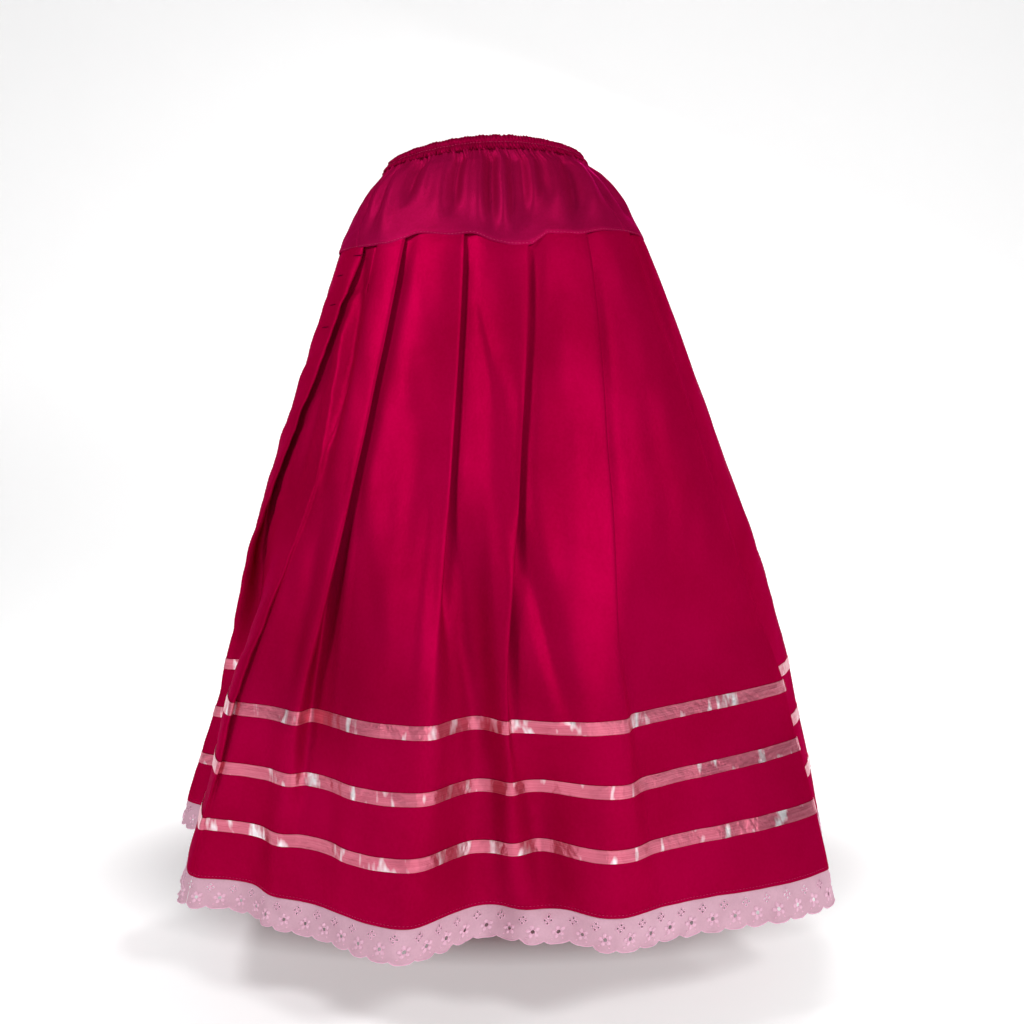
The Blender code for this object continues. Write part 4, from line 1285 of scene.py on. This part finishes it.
def add_raised_work(half, ground, repeats):
    points, faces, start = [], [], 0
    for repeat in range(repeats):
        for shape, shape_faces in work:
            across = repeat + shape[:, 0] / LACE_REPEAT
            if across.min() < -PAST_END or across.max() > repeats + PAST_END:
                continue
            base, out = on_ground(ground, repeats, across, shape[:, 1])
            points.append(base + out * (shape[:, 2] + LACE_THICKNESS / 2)[:, None])
            faces += [tuple(corner + start for corner in face) for face in shape_faces]
            start += len(shape)
    name = f"lace_{half}_embroidery"
    piece = add_mesh(name, np.concatenate(points), faces, cloths["pink_embroidery_thread"])
    select_only(piece)
    bpy.ops.object.mode_set(mode="EDIT")
    bpy.ops.mesh.select_all(action="SELECT")
    bpy.ops.mesh.normals_make_consistent(inside=False)
    bpy.ops.object.mode_set(mode="OBJECT")
    piece.select_set(False)
    print(name, len(faces), "faces")


for half, (ground, repeats) in lace_grounds.items():
    add_raised_work(half, ground, repeats)

# %% [markdown]
# Machine stitches hold the yoke to the skirt, the elastic in its casing and the lace to the hem. One stitch
# is a short rounded bar. It is modelled once and repeated along each seam, a little proud of the cloth.

# %% One stitch
STITCH_LENGTH, STITCH_THICKNESS, STITCH_PITCH = 0.0028, 0.00042, 0.0044
STITCH_ROUNDNESS = (6, 4)


def add_bars(name, sizes, middles, ahead, out, thread):
    """A rounded bar of thread at each middle, lying along ahead, with its upper side to out."""
    length, thickness, segments, rings = sizes
    points, faces = ball(segments, rings)
    points = points[:, [2, 0, 1]] * (length / 2, thickness / 2, thickness / 2)
    axes = np.stack([ahead, np.cross(out, ahead), out], axis=1)
    laid = middles[:, None] + points @ axes
    starts = range(0, len(middles) * len(points), len(points))
    faces = [tuple(start + corner for corner in face) for start in starts for face in faces]
    add_mesh(name, laid.reshape(-1, 3), faces, cloths[thread])
    print(name, len(middles), "bars")


def add_stitches(name, line, normals):
    """Stitches along a line of points, lying on the side that the normals face."""
    run = running(np.linalg.norm(np.diff(line, axis=0), axis=1))
    count = int(run[-1] / STITCH_PITCH)
    middles = (np.arange(count) + 0.5) * run[-1] / count

    def at(places, field):
        return np.stack([np.interp(places, run, field[:, axis]) for axis in range(3)], axis=-1)

    ahead = unit(at(middles + STITCH_LENGTH / 2, line) - at(middles - STITCH_LENGTH / 2, line))
    out = at(middles, normals)
    out = unit(out - (out * ahead).sum(axis=1, keepdims=True) * ahead)
    sizes = (STITCH_LENGTH, STITCH_THICKNESS, *STITCH_ROUNDNESS)
    add_bars(name, sizes, at(middles, line), ahead, out, "magenta_sewing_thread")


# %% Stitched lines
STITCH_STAND, GROOVE_STAND = 0.0002, 0.0009
LACE_STITCH_RISE, NEXT_ROW = 0.0035, 0.002


def stitch_line(grid, row, thickness):
    """The points of one row of a cloth, moved out to its face, and their normals."""
    normals = facing(grid)[row]
    return grid[row] + normals * (thickness / 2 + STITCH_STAND), normals


for half, (left, right, _) in YOKES.items():
    grid = yoke_cloth(left, right, STITCHED_COLUMNS)
    add_stitches(f"yoke_{half}_stitches", *stitch_line(grid, YOKE_ROWS - 2, YOKE_THICKNESS))
outwards = unit(casing_groove * (1.0, 1.0, 0.0))
add_stitches("waist_stitches", casing_groove + outwards * GROOVE_STAND, outwards)
for half, (first, last, _) in HALVES.items():
    drops = HEM_DROP - LACE_STITCH_RISE + np.array([-NEXT_ROW, 0.0, NEXT_ROW])
    grid = skirt_cloth(first, last, drops, 2)
    add_stitches(f"hem_{half}_stitches", *stitch_line(grid, 1, CLOTH_THICKNESS))

# %% [markdown]
# On the left side of the hip a placket is held shut by four short bar tacks, one under the other. Each is a
# thin dark bar of thread that lies across the cloth. Its column is counted back from the left side seam.

# %% The bar tacks of the placket
BarTack = namedtuple("BarTack", "samples drop")
BAR_TACKS = (BarTack(51, 0.136), BarTack(54, 0.160), BarTack(53, 0.199), BarTack(53, 0.228))
TACK_SIZES, TACK_STAND, ROW_ABOVE = (0.0200, 0.0011, 8, 6), 0.0006, 0.004


def add_bar_tacks():
    drops = np.array([tack.drop for tack in BAR_TACKS])
    rows = skirt_cloth(RIGHT_SEAM, ALL_ROUND, drops)
    with_above = np.array([drops[0] - ROW_ABOVE, *drops])
    normals = facing(skirt_cloth(RIGHT_SEAM, ALL_ROUND, with_above))[1:]
    number = np.arange(len(BAR_TACKS))
    column = rows.shape[1] - 1 - np.array([tack.samples for tack in BAR_TACKS])
    ahead = unit(rows[number, column + 2] - rows[number, column - 2])
    out = normals[number, column]
    middles = rows[number, column] + out * (CLOTH_THICKNESS / 2 + TACK_STAND)
    add_bars("side_bar_tacks", TACK_SIZES, middles, ahead, out, "dark_magenta_thread")


add_bar_tacks()

# %% Every piece hangs from the root body
MAGENTA_PIECES = [name for name in pieces if name.startswith(("skirt", "yoke", "waist", "hem", "side"))]
for name, piece in pieces.items():
    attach(piece, "root")
    if name in MAGENTA_PIECES:
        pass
    elif name.startswith("ribbon"):
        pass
    else:
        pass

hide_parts("waistband")
for half in HALVES:
    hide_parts(f"yoke_{half}")
    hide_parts(f"skirt_{half}")
    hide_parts(f"lace_{half}")
    for row in RIBBON_DROPS:
        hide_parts(f"ribbon_{row}_{half}")

for half in HALVES:
    for row in RIBBON_DROPS:
        name = f"ribbon_{row}_{half}_satin"
